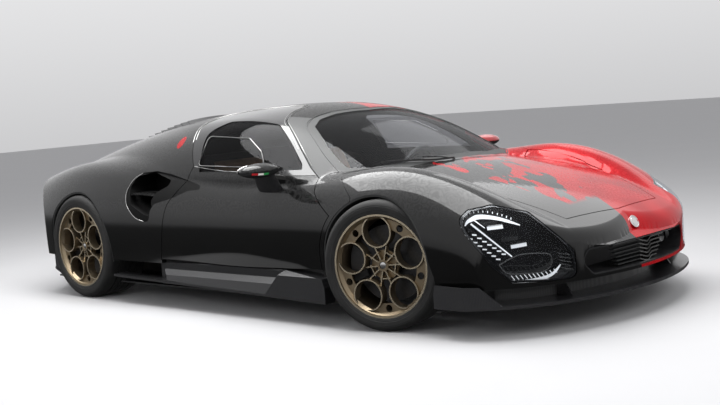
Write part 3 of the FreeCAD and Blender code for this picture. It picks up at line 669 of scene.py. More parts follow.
def body_paint(place):
    pattern = scrolls(place)
    # The print fades out below the shoulder, where no highlight falls: partly print, partly painted
    # highlight.
    film = pattern * (place.part("Z") + place.noise(3.0) * 0.12).step(0.58, 0.80)
    red = red_side(place).most(red_drops(place)).most(roof_patch(place)).most(side_dot(place))
    black = film.mix(BLACK, FILM_LIGHT)
    candy = place.noise(4.0, 1.0).step(0.3, 0.7).mix(RED_DEEP, RED)
    printed = film * (1.0 - red)
    roof = place.part("Z").step(1.04, 1.12)
    coat = (1.0 - printed * 0.45 - red * 0.6) * (1.0 - roof * 0.65)
    return {"Base Color": red.mix(black, candy), "Roughness": 0.36 - film * 0.12 - red * 0.08,
            "Metallic": red * 0.15, "Coat Weight": coat,
            "Normal": (place.noise(160.0, 1.0) * 0.2 + printed).bump(0.0004, 0.10)}


def candy_red(place):
    return {"Base Color": place.noise(6.0, 1.0).step(0.3, 0.7).mix(RED_DEEP, RED),
            "Roughness": 0.26 + place.noise(40.0) * 0.04}


def lamp_black(place):
    return {"Base Color": place.noise(12.0).mix((0.006, 0.006, 0.007, 1), (0.012, 0.012, 0.013, 1)),
            "Roughness": 0.10 + place.noise(30.0) * 0.06}


def satin_band(place):
    grain = place.noise(500.0, 1.0)
    return {"Base Color": place.noise(7.0).mix((0.014, 0.015, 0.015, 1), (0.022, 0.023, 0.023, 1)),
            "Roughness": 0.46 + grain * 0.08, "Normal": grain.bump(0.0002, 0.1)}


paint = finish("paint", body_paint, Specular_IOR_Level=0.08, Coat_Roughness=0.03, Coat_IOR=1.4)
red_paint = finish("red_paint", candy_red, Metallic=0.15, Coat_Weight=1.0, Coat_Roughness=0.03)
black_glass = finish("black_glass", lamp_black, Coat_Weight=0.6, Coat_Roughness=0.02)
satin_pillar = finish("satin_pillar", satin_band)


def dress(material, *names):
    """Gives CAD nodes a finish."""
    for name in names:
        for node, piece in NODES.items():
            if node == name or node.startswith(name + "_"):
                piece.data.materials.clear()
                piece.data.materials.append(material)


dress(paint, "hood", "engine_lid", "front_bumper", "cowl", "front_fenders", "roof", "mirror")
special = {"door_frame_left": black_glass, "door_frame_right": black_glass, "screen_edge": satin_pillar,
           "pillar_skin": satin_pillar}
for name, (panel, body) in panels.items():
    panel.data.materials.clear()
    panel.data.materials.append(special.get(name, paint))
    select_only(panel)
    bpy.ops.object.shade_smooth_by_angle(angle=math.radians(38))
    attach(panel, body)
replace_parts(panels["front_bumper_skin"][0], "front_bumper")
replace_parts(panels["front_fender_skin"][0], "front_fenders")


# ---------------------------------------------------------------- tub, aero parts and trim
# The splitter, sills and diffuser are woven carbon under a thin coat.  The tub, the wheel
# wells, the floor and what lies behind the lids are satin black.  The door and rear quarter
# panels under the skin, seen in the side intakes, are painted a matt near black as the painted
# shade of a deep duct.
def carbon_weave(place):
    """Twill: threads of two directions that catch the light in turn; the lit threads are a painted
    highlight, lighter in colour.
    """
    x, y, z = place.part("X"), place.part("Y"), place.part("Z")
    over = ((x + y + z) * 520.0).sine() * ((x - y - z) * 520.0).sine()
    tone = over.step(-0.3, 0.3)
    return {"Base Color": tone.mix((0.006, 0.006, 0.007, 1), (0.022, 0.022, 0.024, 1)),
            "Roughness": 0.42 - tone * 0.1 + place.noise(9.0) * 0.08,
            "Normal": over.bump(0.0002, 0.2)}


def satin_black(place):
    wear = place.noise(30.0, 4.0)
    return {"Base Color": wear.step(0.3, 0.8).mix((0.010, 0.010, 0.011, 1), (0.020, 0.020, 0.021, 1)),
            "Roughness": 0.38 + wear * 0.2, "Normal": place.noise(900.0, 1.0).bump(0.0002, 0.15)}


carbon = finish("carbon", carbon_weave, Coat_Weight=0.5, Coat_Roughness=0.12)
black_trim = finish("black_trim", satin_black)
liner = finish("liner", satin_black)
painted_recess_shade = finish("painted_recess_shade", lambda place: {
    "Base Color": place.noise(12.0, 3.0).mix((0.0015, 0.0015, 0.0016, 1), (0.004, 0.004, 0.004, 1)),
    "Roughness": 0.55 + place.noise(40.0) * 0.15}, Specular_IOR_Level=0.12)
dress(carbon, "splitter", "diffuser", "side_skirts")
# The door and rear quarter panels show through the side intakes: painted matt near black, as painted shade
# of a deep duct.
dress(painted_recess_shade, "door", "rear_quarters")
dress(black_trim, "tail", "tub", "compartments", "grille", "dashboard", "steering_wheel", "engine_block",
      "suspension", "rear_uprights", "knuckle")
dress(liner, "undertray", "wheel_liners")


# ---------------------------------------------------------------- glass
# The windscreen is clear laminated glass bonded between its pillars, and the door windows
# are tinted.  The lamps' lenses are clear plastic, with a softer shine.
def tinted_glass(name, tint, strength, edge, haze=0.045):
    """A pane: mostly clear with a tint, with a mirror-like face that grows at the edge."""
    made = bpy.data.materials.new(name)
    made.use_nodes = True
    tree = made.node_tree
    start = Wire(tree)
    face = tree.nodes["Principled BSDF"]
    face.inputs["Metallic"].default_value = 1.0
    place = start.node("TexCoord", {}, {}, "Object")
    dust = place.noise(5.0, 3.0)
    tree.links.new((dust * 0.02 + haze).socket, face.inputs["Roughness"])
    tree.links.new(dust.mix((0.88, 0.88, 0.89, 1), (0.95, 0.95, 0.96, 1)).socket,
                   face.inputs["Base Color"])
    clear = start.node("BsdfTransparent", {}, {0: tint})
    rim_light = start.node("LayerWeight", {}, {0: 0.5}, 1).power(5.0)
    blend = tree.nodes.new("ShaderNodeMixShader")
    tree.links.new((rim_light * edge + strength).socket, blend.inputs[0])
    tree.links.new(clear.socket, blend.inputs[1])
    tree.links.new(face.outputs[0], blend.inputs[2])
    tree.links.new(blend.outputs[0], tree.nodes["Material Output"].inputs[0])
    return made


screen_glass = tinted_glass("screen_glass", (0.90, 0.91, 0.92, 1), 0.012, 0.25)
lens_glass = tinted_glass("lens_glass", (0.93, 0.94, 0.95, 1), 0.004, 0.10, 0.24)
side_glass = tinted_glass("side_glass", (0.62, 0.62, 0.63, 1), 0.010, 0.15)
dress(screen_glass, "windscreen")
dress(side_glass, "door_window", "headlights")


# ---------------------------------------------------------------- headlights
# A clear lens covers a black dish.  In it lie a pale upper blade, a long white light bar,
# rows of small dashes, two projector slots and a ribbed daylight band along the foot.
def tree_of(piece):
    turned = bmesh.new()
    turned.from_mesh(piece.data)
    made = BVHTree.FromBMesh(turned)
    turned.free()
    return made


SURFACE = tree_of(form)


def finished(piece, material, body, angle=38):
    """Gives a new piece its material and its body."""
    piece.data.materials.clear()
    piece.data.materials.append(material)
    select_only(piece)
    bpy.ops.object.shade_smooth_by_angle(angle=math.radians(angle))
    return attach(piece, body)


def joined(name, pieces):
    """Several pieces of one kind as one object."""
    select_only(pieces[0])
    for piece in pieces:
        piece.select_set(True)
    bpy.ops.object.join()
    pieces[0].name = pieces[0].data.name = name
    return pieces[0]


def in_lamp(s, z, deep):
    """The place at s across the left lamp and height z, deep behind its lens, all in mm."""
    start = (ACROSS_VIEW * s + Vector((0, 0, z)) + VIEW * 4000) * MM
    hit = SURFACE.ray_cast(start, -VIEW)[0] or SURFACE.find_nearest(start)[0]
    return hit - VIEW * deep * MM


def ribbon(line, deep, thick):
    """A strip in the lamp along line (s, z, width), as thick as given."""
    verts, faces, last = [], [], len(line) - 1
    for i, (s, z, width) in enumerate(line):
        along = Vector(line[min(i + 1, last)][:2]) - Vector(line[max(i - 1, 0)][:2])
        side = Vector((-along.y, along.x)).normalized() * width / 2
        for edge in (side, -side):
            verts += [in_lamp(s + edge.x, z + edge.y, deep), in_lamp(s + edge.x, z + edge.y, deep + thick)]
    for i in range(last):
        faces += [(4 * i + a, 4 * i + b, 4 * i + 4 + b, 4 * i + 4 + a)
                  for a, b in ((0, 2), (2, 3), (3, 1), (1, 0))]
    return made_of("ribbon", verts, faces + [(0, 2, 3, 1), tuple(4 * last + k for k in (0, 2, 3, 1))])


def between(points, steps):
    """A smooth line through points, each span in steps parts."""
    points = [Vector(p) for p in points]
    run = [2 * points[0] - points[1]] + points + [2 * points[-1] - points[-2]]
    out = []
    for i in range(1, len(run) - 2):
        a, b, c, d = run[i - 1:i + 3]
        for k in range(steps):
            t = k / steps
            out.append(0.5 * (2 * b + (c - a) * t + (2 * a - 5 * b + 4 * c - d) * t * t
                              + (3 * b - a - 3 * c + d) * t * t * t))
    return out + [points[-1]]


def white_lamp(place):
    tone = place.noise(30.0).mix((0.72, 0.73, 0.75, 1), (0.82, 0.83, 0.84, 1))
    return {"Base Color": tone, "Emission Color": tone, "Roughness": 0.25 + place.noise(50.0) * 0.1}


def bright_metal(place):
    haze = place.noise(60.0, 3.0)
    return {"Base Color": haze.mix((0.62, 0.62, 0.62, 1), (0.78, 0.77, 0.75, 1)),
            "Roughness": 0.12 + haze * 0.12}


white = finish("white", white_lamp, Emission_Strength=0.35)
bright = finish("bright", bright_metal, Metallic=1.0)
lens = finished(lens, lens_glass, "chassis")
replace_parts(lens, "headlights")
inner = body_form(-0.003, 0.05)
DISH_FLOOR, DISH_WALL = 8, 7         # how thick the dish's floor and wall are, mm
dish = carve(lamp_prism(1850, 1), lamp_prism(1850 + DISH_FLOOR, 1 + DISH_WALL))
dish = carve(dish, inner, "INTERSECT", keep_tool=True)
dish.name = dish.data.name = "headlight_dishes"
finished(both_sides(dish), black_glass, "chassis")

CRESCENT = [(-648, 548, 4), (-662, 566, 12), (-684, 577, 18), (-712, 586, 20), (-752, 584, 18),
            (-803, 574, 15), (-849, 559, 13), (-905, 537, 5)]
DAYLIGHT = [(-838, 281, 6), (-860, 275, 11), (-907, 272, 13), (-961, 274, 14), (-1008, 280, 14),
            (-1042, 291, 13), (-1066, 309, 11), (-1088, 333, 4)]
PROJECTORS = (((-748, 533), (-822, 537), 15), ((-850, 441), (-925, 448), 16))
ROWS = (((-686, 506), (-814, 409), 7), ((-646, 505), (-786, 386), 8))
bars = [ribbon(between(CRESCENT, 4), 27, 5), ribbon([(-676, 557, 9), (-851, 395, 6)], 25, 5),
        ribbon([(-692, 574, 6), (-737, 536, 4)], 24, 5), ribbon(between(DAYLIGHT, 4), 26, 5)]
bars += [ribbon([(*a, wide), (*b, wide)], 24, 8) for a, b, wide in PROJECTORS]
for start, end, count in ROWS:
    for k in range(count):
        s = start[0] + (end[0] - start[0]) * k / (count - 1)
        z = start[1] + (end[1] - start[1]) * k / (count - 1)
        bars.append(ribbon([(s + 10, z + 1, 6), (s - 10, z - 1, 6)], 30, 4))
for k in range(11):
    s = -842 - k * 21
    drop = max(0, -s - 960) ** 2 / 700
    bars.append(ribbon([(s, 303 + drop, 3.5), (s - 14, 283 + drop, 3.5)], 24, 5))
rim_line = between([(-622, 520), (-632, 572), (-668, 607), (-742, 614), (-820, 594), (-890, 564)], 7)
for k in range(1, len(rim_line) - 1, 2):
    away = (rim_line[k + 1] - rim_line[k - 1]).normalized()
    nearer = rim_line[k] + Vector((-away.y, away.x)) * 9
    bars.append(ribbon([(*rim_line[k], 3.5), (*nearer, 3.5)], 22, 4))
finished(both_sides(joined("headlight_bars", bars)), white, "chassis")
DUCT = [(-789, 358), (-844, 385), (-907, 401), (-1025, 392), (-1044, 360), (-1034, 326), (-987, 307),
        (-883, 308), (-821, 318)]
loop = between(DUCT + DUCT[:1], 5)
edging = [ribbon([(*p, 4) for p in loop], 30, 16)]
edging += [ribbon([(-1078 - 2 * k, 388 - 17 * k, 3), (-1152, 372 - 18 * k, 3)], 14, 22) for k in range(5)]
edging += [ribbon([(p[0] - 2, p[1] + 11, 3), (q[0] + 2, q[1] + 11, 3)], 22, 16) for p, q, _ in PROJECTORS]
finished(both_sides(joined("headlight_edging", edging)), bright, "chassis")


# ---------------------------------------------------------------- mouth
# A duct runs back from the nose opening to the radiator.  Six thin blades bend forward to
# a prow in the middle, smoked on the right and bright on the left; a bare disc sits above.
def strap(points, up, wide, thick):
    """A flat bar along points: thick along up, wide across it."""
    points = [Vector(p) for p in points]
    verts, faces, last = [], [], len(points) - 1
    for i, p in enumerate(points):
        along = (points[min(i + 1, last)] - points[max(i - 1, 0)]).normalized()
        side = along.cross(Vector(up)).normalized()
        above = side.cross(along).normalized()
        verts += [p + above * thick / 2 * a + side * wide / 2 * b
                  for a, b in ((1, 1), (-1, 1), (-1, -1), (1, -1))]
    for i in range(last):
        faces += [(4 * i + a, 4 * i + (a + 1) % 4, 4 * i + 4 + (a + 1) % 4, 4 * i + 4 + a)
                  for a in range(4)]
    return made_of("strap", verts, faces + [(0, 1, 2, 3), tuple(4 * last + k for k in range(4))])


def mouth_prism(shrink, x0):
    middle = Vector((0, 325))
    flat = [(y * (1 - shrink / 480), middle.y + (z - middle.y) * (1 - shrink / 67)) for y, z in MOUTH]
    return cross_prism(rounded(flat, 45), x0, 2600)


duct = carve(carve(mouth_prism(0.5, 2050), mouth_prism(7, 2040)), inner, "INTERSECT")
duct.name = duct.data.name = "mouth_duct"
finished(duct, black_trim, "chassis")


def blade(y0, y1, z, thick):
    line = []
    for k in range(25):
        y = y0 + (y1 - y0) * k / 24
        dip = 0.016 * max(0, 1 - abs(y - 0.01) / 0.055)
        line.append((2.258 - 0.05 * abs(y) + dip * 0.6, y, z - dip))
    return strap(line, (0, 0, 1), 0.030, thick)


HEIGHTS = [0.379 - 0.0195 * k for k in range(6)]
RIGHT_END, SEAM_Y, LEFT_END = -0.278, -0.045, 0.205    # the smoked part meets the bright at the seam
smoked = joined("grille_smoked_blades", [blade(RIGHT_END + 0.007 * k, SEAM_Y, z, 0.0045)
                                         for k, z in enumerate(HEIGHTS)])
polished = joined("grille_bright_blades", [blade(SEAM_Y, LEFT_END - 0.016 * k, z, 0.0065)
                                           for k, z in enumerate(HEIGHTS)])
core = block(2060, 2085, -440, 440, 255, 405)
core.name = core.data.name = "radiator"
finished(smoked, satin_pillar, "chassis")
finished(polished, bright, "chassis")
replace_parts(finished(core, black_trim, "chassis"), "grille")


def turned_disc(name, rings, place, towards, steps=48):
    """A round piece: rings (radius, height) turned about towards, standing at place."""
    verts = [(r * math.cos(math.tau * k / steps), r * math.sin(math.tau * k / steps), h)
             for r, h in rings for k in range(steps)]
    faces = [(i * steps + k, i * steps + (k + 1) % steps, (i + 1) * steps + (k + 1) % steps,
              (i + 1) * steps + k) for i in range(len(rings) - 1) for k in range(steps)]
    ends = [tuple(range(steps)), tuple(range((len(rings) - 1) * steps, len(rings) * steps))]
    piece = made_of(name, verts, faces + ends)
    turn = Vector(towards).to_track_quat("Z", "Y").to_matrix().to_4x4()
    piece.data.transform(Matrix.Translation(place) @ turn)
    return piece


def on_skin(point, proud=0.0):
    """The nearest place on the body's surface to a point, moved out by proud."""
    place, face, _, _ = SURFACE.find_nearest(Vector(point))
    return place + face * proud, face


DISC_PLACE = Vector((2.205, 0.020, 0.460))
spot = on_skin(DISC_PLACE, 0.002)[0]
face = sum((on_skin(DISC_PLACE + Vector((dx, dy, 0)))[1]
            for dx in (-0.03, 0, 0.02) for dy in (-0.03, 0, 0.03)), Vector())
DISC_RINGS = [(0.034, -0.003), (0.034, 0.0015), (0.033, 0.0025), (0.0295, 0.0025), (0.0285, 0.0015),
              (0.024, 0.0015), (0.0235, 0.0022), (0.010, 0.003), (0.002, 0.003)]
finished(turned_disc("nose_disc", DISC_RINGS, spot, face), bright, "chassis")
low_round = turned_disc("mouth_sensor", [(0.030, -0.02), (0.030, 0.012), (0.026, 0.016), (0.018, 0.010),
                                         (0.002, 0.009)], (2.190, 0.292, 0.345), (1, 0, 0))
finished(low_round, black_glass, "chassis")


# ---------------------------------------------------------------- door glass and screen
# Metal strips follow the door's upper edge, on the door and on the body: up the pillar, along
# the roof and down again, with a third along the belt.  A thin frame marks the sliding pane,
# rubber seals the screen, and a wiper lies across its foot.
def above(x, y, proud):
    """The place on the body over (x, y) in mm, moved out along its face."""
    place, face, _, _ = SURFACE.ray_cast((x * MM, y * MM, 2), (0, 0, -1))
    return place + face * proud


def beside(x, z, proud):
    """The place on the body's left side at (x, z) in mm, moved out along its face."""
    place, face, _, _ = SURFACE.ray_cast((x * MM, 1.4, z * MM), (0, -1, 0))
    return place + face * proud


def bead(name, points, r, closed=False):
    """A round strip of radius r along points, as a mesh."""
    made = bpy.data.curves.new(name, "CURVE")
    made.dimensions = "3D"
    made.bevel_depth, made.bevel_resolution, made.use_fill_caps = r, 1, not closed
    line = made.splines.new("POLY")
    line.points.add(len(points) - 1)
    for point, place in zip(line.points, points):
        point.co = (*place, 1)
    line.use_cyclic_u = closed
    piece = bpy.data.objects.new(name, made)
    bpy.context.scene.collection.objects.link(piece)
    select_only(piece)
    bpy.ops.object.convert(target="MESH")
    return bpy.context.view_layer.objects.active


def strips(name, bead_made, material, body):
    """A left-hand strip and its twin; SIDE in the body's name becomes left or right."""
    right = mirrored(bead_made, name + "_right")
    bead_made.name = bead_made.data.name = name + "_left"
    for side, piece in (("left", bead_made), ("right", right)):
        finished(piece, material, body.replace("SIDE", side), 60)


strip_metal = finish("strip_metal", lambda place: {
    "Base Color": place.noise(60.0, 3.0).mix((0.26, 0.26, 0.26, 1), (0.36, 0.36, 0.35, 1)),
    "Roughness": 0.28 + place.noise(90.0) * 0.1}, Metallic=1.0)
REAR_LOOP = [(-489, 470), (-468, 560), (-432, 650), (-372, 740), (-322, 800)]
door_top = PILLAR + ROOF + REAR_LOOP + [(-250, 1100), (787, 1100)]
inner_line = between(offset(door_top, -9)[2:-3], 4)
outer_line = between(offset(door_top, GAP + 6)[1:-3], 4)
strips("door_strip", bead("strip", [above(x, y, 0.001) for x, y in inner_line], 0.0022), strip_metal,
       "door_SIDE")
strips("pillar_strip", bead("strip", [above(x, y, 0.001) for x, y in outer_line], 0.0022), strip_metal,
       "chassis")
belt_line = between(BELT[1:], 5)
strips("belt_strip", bead("strip", [beside(x, z, 0.0005) for x, z in belt_line], 0.0020), strip_metal,
       "door_SIDE")
PANE = [(-240, 1036), (150, 1012), (300, 935), (372, 845), (-235, 866)]
pane = rounded([(x, 0, z) for x, z in PANE], 22, 5)
strips("pane_frame", bead("frame", [beside(x, z, -0.0005) for x, _, z in pane], 0.0030, True), strip_metal,
       "door_SIDE")
seal = [above(x, y, -0.0015) for x, y in between(whole(SCREEN)[1:9], 5)]
strips("screen_seal", bead("seal", seal, 0.0035), black_trim, "chassis")

wiper_line = between([(965, -507), (990, -440), (1035, -300), (1075, -170), (1100, -40)], 5)
wiper = [strap([above(x, y, 0.010) for x, y in wiper_line], (0, 0, 1), 0.012, 0.010),
         strap([above(1102, -36, 0.004), above(1072, -120, 0.018), above(1035, -240, 0.018)],
               (0, 0, 1), 0.014, 0.006)]
finished(joined("wiper", wiper), black_trim, "chassis")


# ---------------------------------------------------------------- wheels
# Tyres have ribbed sides and four grooves round the tread.  The rims are cast bronze with
# machined edges, the discs are turned iron, and each hub has a plain cap and five bolts.
# Place along the car, the wheel's face, the tyre's radius and the rim's, mm.
AXLES = {"front": (1270, 955, 340, 268), "rear": (-1430, 972, 346, 268)}
WIDTHS = {"front": 245, "rear": 305}                  # the tyres' widths, mm
KINGPIN_IN = 170                     # how far the kingpin stands inside the wheel's face
BOLT_CIRCLE = 0.052                  # radius of the circle of the five bolts
BOLT_TURN = 131                      # the first bolt's bearing, between two of the rim's rings
PARKED_STEER = math.radians(14)      # the front wheels stand turned to the left


def at_wheel(piece, end, side):
    """Moves a piece made about the left wheel's axle at the origin to its own wheel."""
    x, face_y, r, _ = AXLES[end]
    place = Matrix.Translation((x * MM, face_y * MM, r * MM))
    if side == "right":
        place = Matrix.Scale(-1, 4, (0, 1, 0)) @ place
    if end == "front":
        pin = Vector((x * MM, (face_y - KINGPIN_IN) * MM * (1 if side == "left" else -1), 0))
        turn = Matrix.Rotation(PARKED_STEER, 4, "Z")
        place = Matrix.Translation(pin) @ turn @ Matrix.Translation(-pin) @ place
    piece.data.transform(place)
    if side == "right":
        piece.data.flip_normals()
    return piece


def lathe(name, profile, steps):
    """A closed ring: profile (radius, y) in mm, spun round the axle."""
    n = len(profile)
    verts = [(r * MM * math.cos(math.tau * k / steps), y * MM, r * MM * math.sin(math.tau * k / steps))
             for k in range(steps) for r, y in profile]
    faces = [(k * n + i, k * n + (i + 1) % n, (k + 1) % steps * n + (i + 1) % n, (k + 1) % steps * n + i)
             for k in range(steps) for i in range(n)]
    return made_of(name, verts, faces)


def tyre_profile(width, r, rim_r):
    """A tyre's section: bead, ribbed side, shoulder, four grooves and the same again."""
    side = [(rim_r, -7), (rim_r + 6, -3.5), (rim_r + 9, -4.5), (rim_r + 12, -2.5), (rim_r + 16, -3.5),
            (rim_r + 19, -1.2), (r - 38, -0.6), (r - 33, -0.4), (r - 30, -2.0), (r - 27, -1.4),
            (r - 22, -3.2), (r - 14, -7.5), (r - 7, -14.5), (r - 2.5, -23), (r, -34)]
    far = [(a, -width - b) for a, b in reversed(side)]
    grooves = []
    for k in (0.22, 0.42, 0.58, 0.78):
        y = -34 - (width - 68) * k
        grooves += [(r, y + 5), (r - 7, y + 4), (r - 7, y - 4), (r, y - 5)]
    return side + grooves + far


def bronze_cast(axle, start, face):
    """Satin bronze: machined bright on the edges that face outwards along the axle."""
    def cast(place):
        grain = place.noise(700.0, 2.0)
        facing = place.node("TexCoord", {}, {}, "Normal")
        out = facing.node("VectorMath", {"operation": "DOT_PRODUCT"}, {0: facing, 1: axle}, 1).size()
        along = place.node("VectorMath", {"operation": "DOT_PRODUCT"}, {0: place, 1: axle}, 1) - start
        below = face - along.size()
        web = below.step(0.0315, 0.0320) * (1.0 - below.step(0.0365, 0.0370))
        edge = out.step(0.86, 0.97) * (1.0 - web) * (1.0 - below.step(0.055, 0.056))
        tone = place.noise(8.0, 2.0).step(0.35, 0.65)
        return {"Base Color": edge.mix(tone.mix((0.27, 0.215, 0.145, 1), (0.33, 0.265, 0.18, 1)),
                                       (0.80, 0.69, 0.51, 1)),
                "Roughness": 0.34 + grain * 0.08 - edge * 0.14, "Normal": grain.bump(0.0001, 0.1)}
    return cast


def rubber(place):
    dust = place.noise(14.0, 4.0)
    return {"Base Color": dust.step(0.35, 0.75).mix((0.007, 0.007, 0.007, 1), (0.014, 0.0135, 0.013, 1)),
            "Roughness": 0.62 + dust * 0.2, "Normal": place.noise(600.0, 2.0).bump(0.0003, 0.3)}


def turned_iron(place):
    ring = place.noise(90.0, 3.0)
    return {"Base Color": ring.mix((0.035, 0.035, 0.037, 1), (0.075, 0.075, 0.077, 1)),
            "Roughness": 0.30 + ring * 0.18, "Normal": place.noise(800.0, 1.0).bump(0.0002, 0.2)}


TURNED = (-math.sin(PARKED_STEER), math.cos(PARKED_STEER), 0)
front_bronze = finish("front_bronze", bronze_cast(TURNED, 1.270 * TURNED[0], 0.785 * TURNED[1] + 0.170),
                      Metallic=0.92)
rear_bronze = finish("rear_bronze", bronze_cast((0, 1, 0), 0.0, 0.972), Metallic=0.92)
tyre_rubber = finish("tyre_rubber", rubber)
iron = finish("iron", turned_iron, Metallic=0.9)
dress(front_bronze, "rim_front")
dress(rear_bronze, "rim_rear")
dress(tyre_rubber, "tyre")
dress(iron, "brake_disc")
for end, (x, face_y, r, rim_r) in AXLES.items():
    tyre = lathe("tyre", tyre_profile(WIDTHS[end], r, rim_r), 160)
    cap = lathe("cap", [(0.5, -37), (8, -37), (17, -38.5), (19.5, -41), (19.5, -51), (0.5, -51)], 40)
    bolts = []
    for k in range(5):
        a = math.radians(BOLT_TURN + 72 * k)
        centre = Vector((math.cos(a), 0, math.sin(a))) * BOLT_CIRCLE + Vector((0, -0.0775, 0))
        bolts.append(turned_disc("bolt", [(0.0095, 0), (0.0095, 0.010), (0.0072, 0.0105), (0.0070, 0.020),
                                          (0.0058, 0.0215), (0.0030, 0.0215), (0.0028, 0.015)],
                                 centre, (0, 1, 0), 12))
    studs = joined("bolts", bolts)
    for side in ("left", "right"):
        body = f"wheel_{end}_{side}"
        made = at_wheel(copied(tyre, f"tyre_ribbed_{end}_{side}"), end, side)
        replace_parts(finished(made, tyre_rubber, body, 30), f"tyre_{end}_{side}")
        hub = at_wheel(copied(cap, f"hub_cap_{end}_{side}"), end, side)
        nuts = at_wheel(copied(studs, f"wheel_bolts_{end}_{side}"), end, side)
        finished(hub, bright, body, 30)
        finished(nuts, black_trim, body, 30)
    for tool in (tyre, cap, studs):
        bpy.data.objects.remove(tool)


# ---------------------------------------------------------------- seats
# Two padded bucket seats in ribbed tan leather, one on each side of the console: cushion,
# back with raised sides and head rest, sewn in cross channels.
def pad(name, foot, top, sideways, out, wide, thick, ribs, side_lift):
    """A padded panel from foot to top: its face bulges, with sewn channels and side rolls."""
    rows, cols = 72, 36
    foot, top, sideways, out = (Vector(v) for v in (foot, top, sideways, out))
    front, back = [], []
    for i in range(rows + 1):
        v = i / rows
        for j in range(cols + 1):
            u = 2 * j / cols - 1
            edge = (1 - abs(u) ** 6) ** 0.5 * (1 - abs(2 * v - 1) ** 10) ** 0.5
            narrow = 1 - 0.22 * max(0, v - 0.55) ** 1.2 * 2
            roll = side_lift * math.exp(-((abs(u) - 0.80) / 0.17) ** 2) * (1 - 0.6 * max(0, v - 0.6))
            groove = 0.007 * abs(math.sin(math.pi * ribs * v)) ** 0.5 if abs(u) < 0.60 else 0.007
            seam = -0.010 * math.exp(-((abs(u) - 0.62) / 0.03) ** 2)
            lift = (thick * 0.5 + roll + groove + seam) * edge
            base = foot.lerp(top, v) + sideways * u * wide / 2 * narrow
            front.append(base + out * lift)
            back.append(base - out * thick * 0.45 * edge)
    n = (rows + 1) * (cols + 1)
    faces = []
    for i in range(rows):
        for j in range(cols):
            a = i * (cols + 1) + j
            faces.append((a, a + 1, a + cols + 2, a + cols + 1))
            faces.append((n + a, n + a + cols + 1, n + a + cols + 2, n + a + 1))
    piece = made_of(name, front + back, faces)
    select_only(piece)
    bpy.ops.object.mode_set(mode="EDIT")
    bpy.ops.mesh.select_all(action="SELECT")
    bpy.ops.mesh.remove_doubles(threshold=0.0004)
    bpy.ops.mesh.normals_make_consistent(inside=False)
    bpy.ops.object.mode_set(mode="OBJECT")
    return piece


def hide(place):
    grain = place.cells(420.0)
    tone = place.noise(12.0, 3.0)
    return {"Base Color": tone.step(0.3, 0.7).mix((0.42, 0.27, 0.16, 1), (0.52, 0.34, 0.21, 1)),
            "Roughness": 0.45 + grain * 0.25, "Normal": grain.bump(0.0004, 0.3)}


leather = finish("leather", hide, Sheen_Weight=0.1)
dress(leather, "seats")
SEAT_Y = 0.37
for side, y in (("left", SEAT_Y), ("right", -SEAT_Y)):
    cushion = pad(f"seat_cushion_{side}", (-0.300, y, 0.255), (0.225, y, 0.285), (0, 1, 0),
                  (-0.05, 0, 0.99), 0.44, 0.085, 6, 0.035)
    back = pad(f"seat_back_{side}", (-0.262, y, 0.335), (-0.440, y, 0.865), (0, 1, 0),
               (0.95, 0, 0.31), 0.44, 0.085, 9, 0.045)
    for piece in (cushion, back):
        finished(piece, leather, "chassis", 60)
    if side == "left":
        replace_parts(cushion, "seats")


# ---------------------------------------------------------------- mirrors
# Each mirror is an oval pod with a painted cap over a black foot, on a broad flat arm that
# rises from the door; a small striped plate sits on the right one, and its glass faces back.
# The pod's oval sections, mm: y, half length, half height, about x and z of its middle.
POD_X, POD_Z = 520, 845
PODS = [(884, 26, 15), (896, 42, 23), (915, 53, 30), (950, 60, 37), (985, 64, 41), (1025, 64.5, 41),
        (1060, 62, 38), (1090, 55, 32), (1112, 46, 26), (1126, 33, 18), (1135, 16, 9)]


def pod(name, lower, upper):
    """The pod's shell between two angles of its ovals, with the flat split face closed."""
    steps = 20
    turns = [lower + (upper - lower) * k / steps for k in range(steps + 1)]
    verts, faces, n = [], [], len(turns)
    for y, half_x, half_z in PODS:
        verts += [((POD_X + half_x * math.cos(a)) * MM, y * MM, (POD_Z + half_z * math.sin(a)) * MM)
                  for a in turns]
    for i in range(len(PODS) - 1):
        faces += [(i * n + k, i * n + (k + 1) % n, (i + 1) * n + (k + 1) % n, (i + 1) * n + k)
                  for k in range(n)]
    ends = [tuple(range(n)), tuple(range(len(verts) - n, len(verts)))]
    return made_of(name, verts, faces + ends)


ARM = [((438, 858, 712), 205, 34), ((446, 885, 745), 200, 32), ((458, 915, 790), 186, 30),
       ((472, 950, 832), 172, 30)]       # middle, length and depth of its sections, mm
ROUND = [math.tau * k / 24 for k in range(24)]
verts = [((x + length / 2 * math.copysign(abs(math.cos(a)) ** 0.6, math.cos(a))) * MM,
          (y + deep / 2 * math.sin(a)) * MM, (z - deep / 3 * math.sin(a)) * MM)
         for (x, y, z), length, deep in ARM for a in ROUND]
faces = [(i * 24 + k, i * 24 + (k + 1) % 24, (i + 1) * 24 + (k + 1) % 24, (i + 1) * 24 + k)
         for i in range(len(ARM) - 1) for k in range(24)]
arm = made_of("mirror_arm", verts, faces + [tuple(range(24)), tuple(range(72, 96))])
shells = {"mirror_cap": pod("mirror_cap", -0.12, math.pi + 0.12),
          "mirror_foot": pod("mirror_foot", math.pi + 0.16, math.tau - 0.16), "mirror_arm": arm}
for name, piece in shells.items():
    right = mirrored(piece, name + "_right")
    piece.name = piece.data.name = name + "_left"
    for side, made in (("left", piece), ("right", right)):
        shell_finish = {"mirror_cap": red_paint if side == "left" else paint}.get(name, black_trim)
        finished(made, shell_finish, "door_" + side, 50)
        if name == "mirror_cap":
            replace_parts(made, "mirror_" + side)
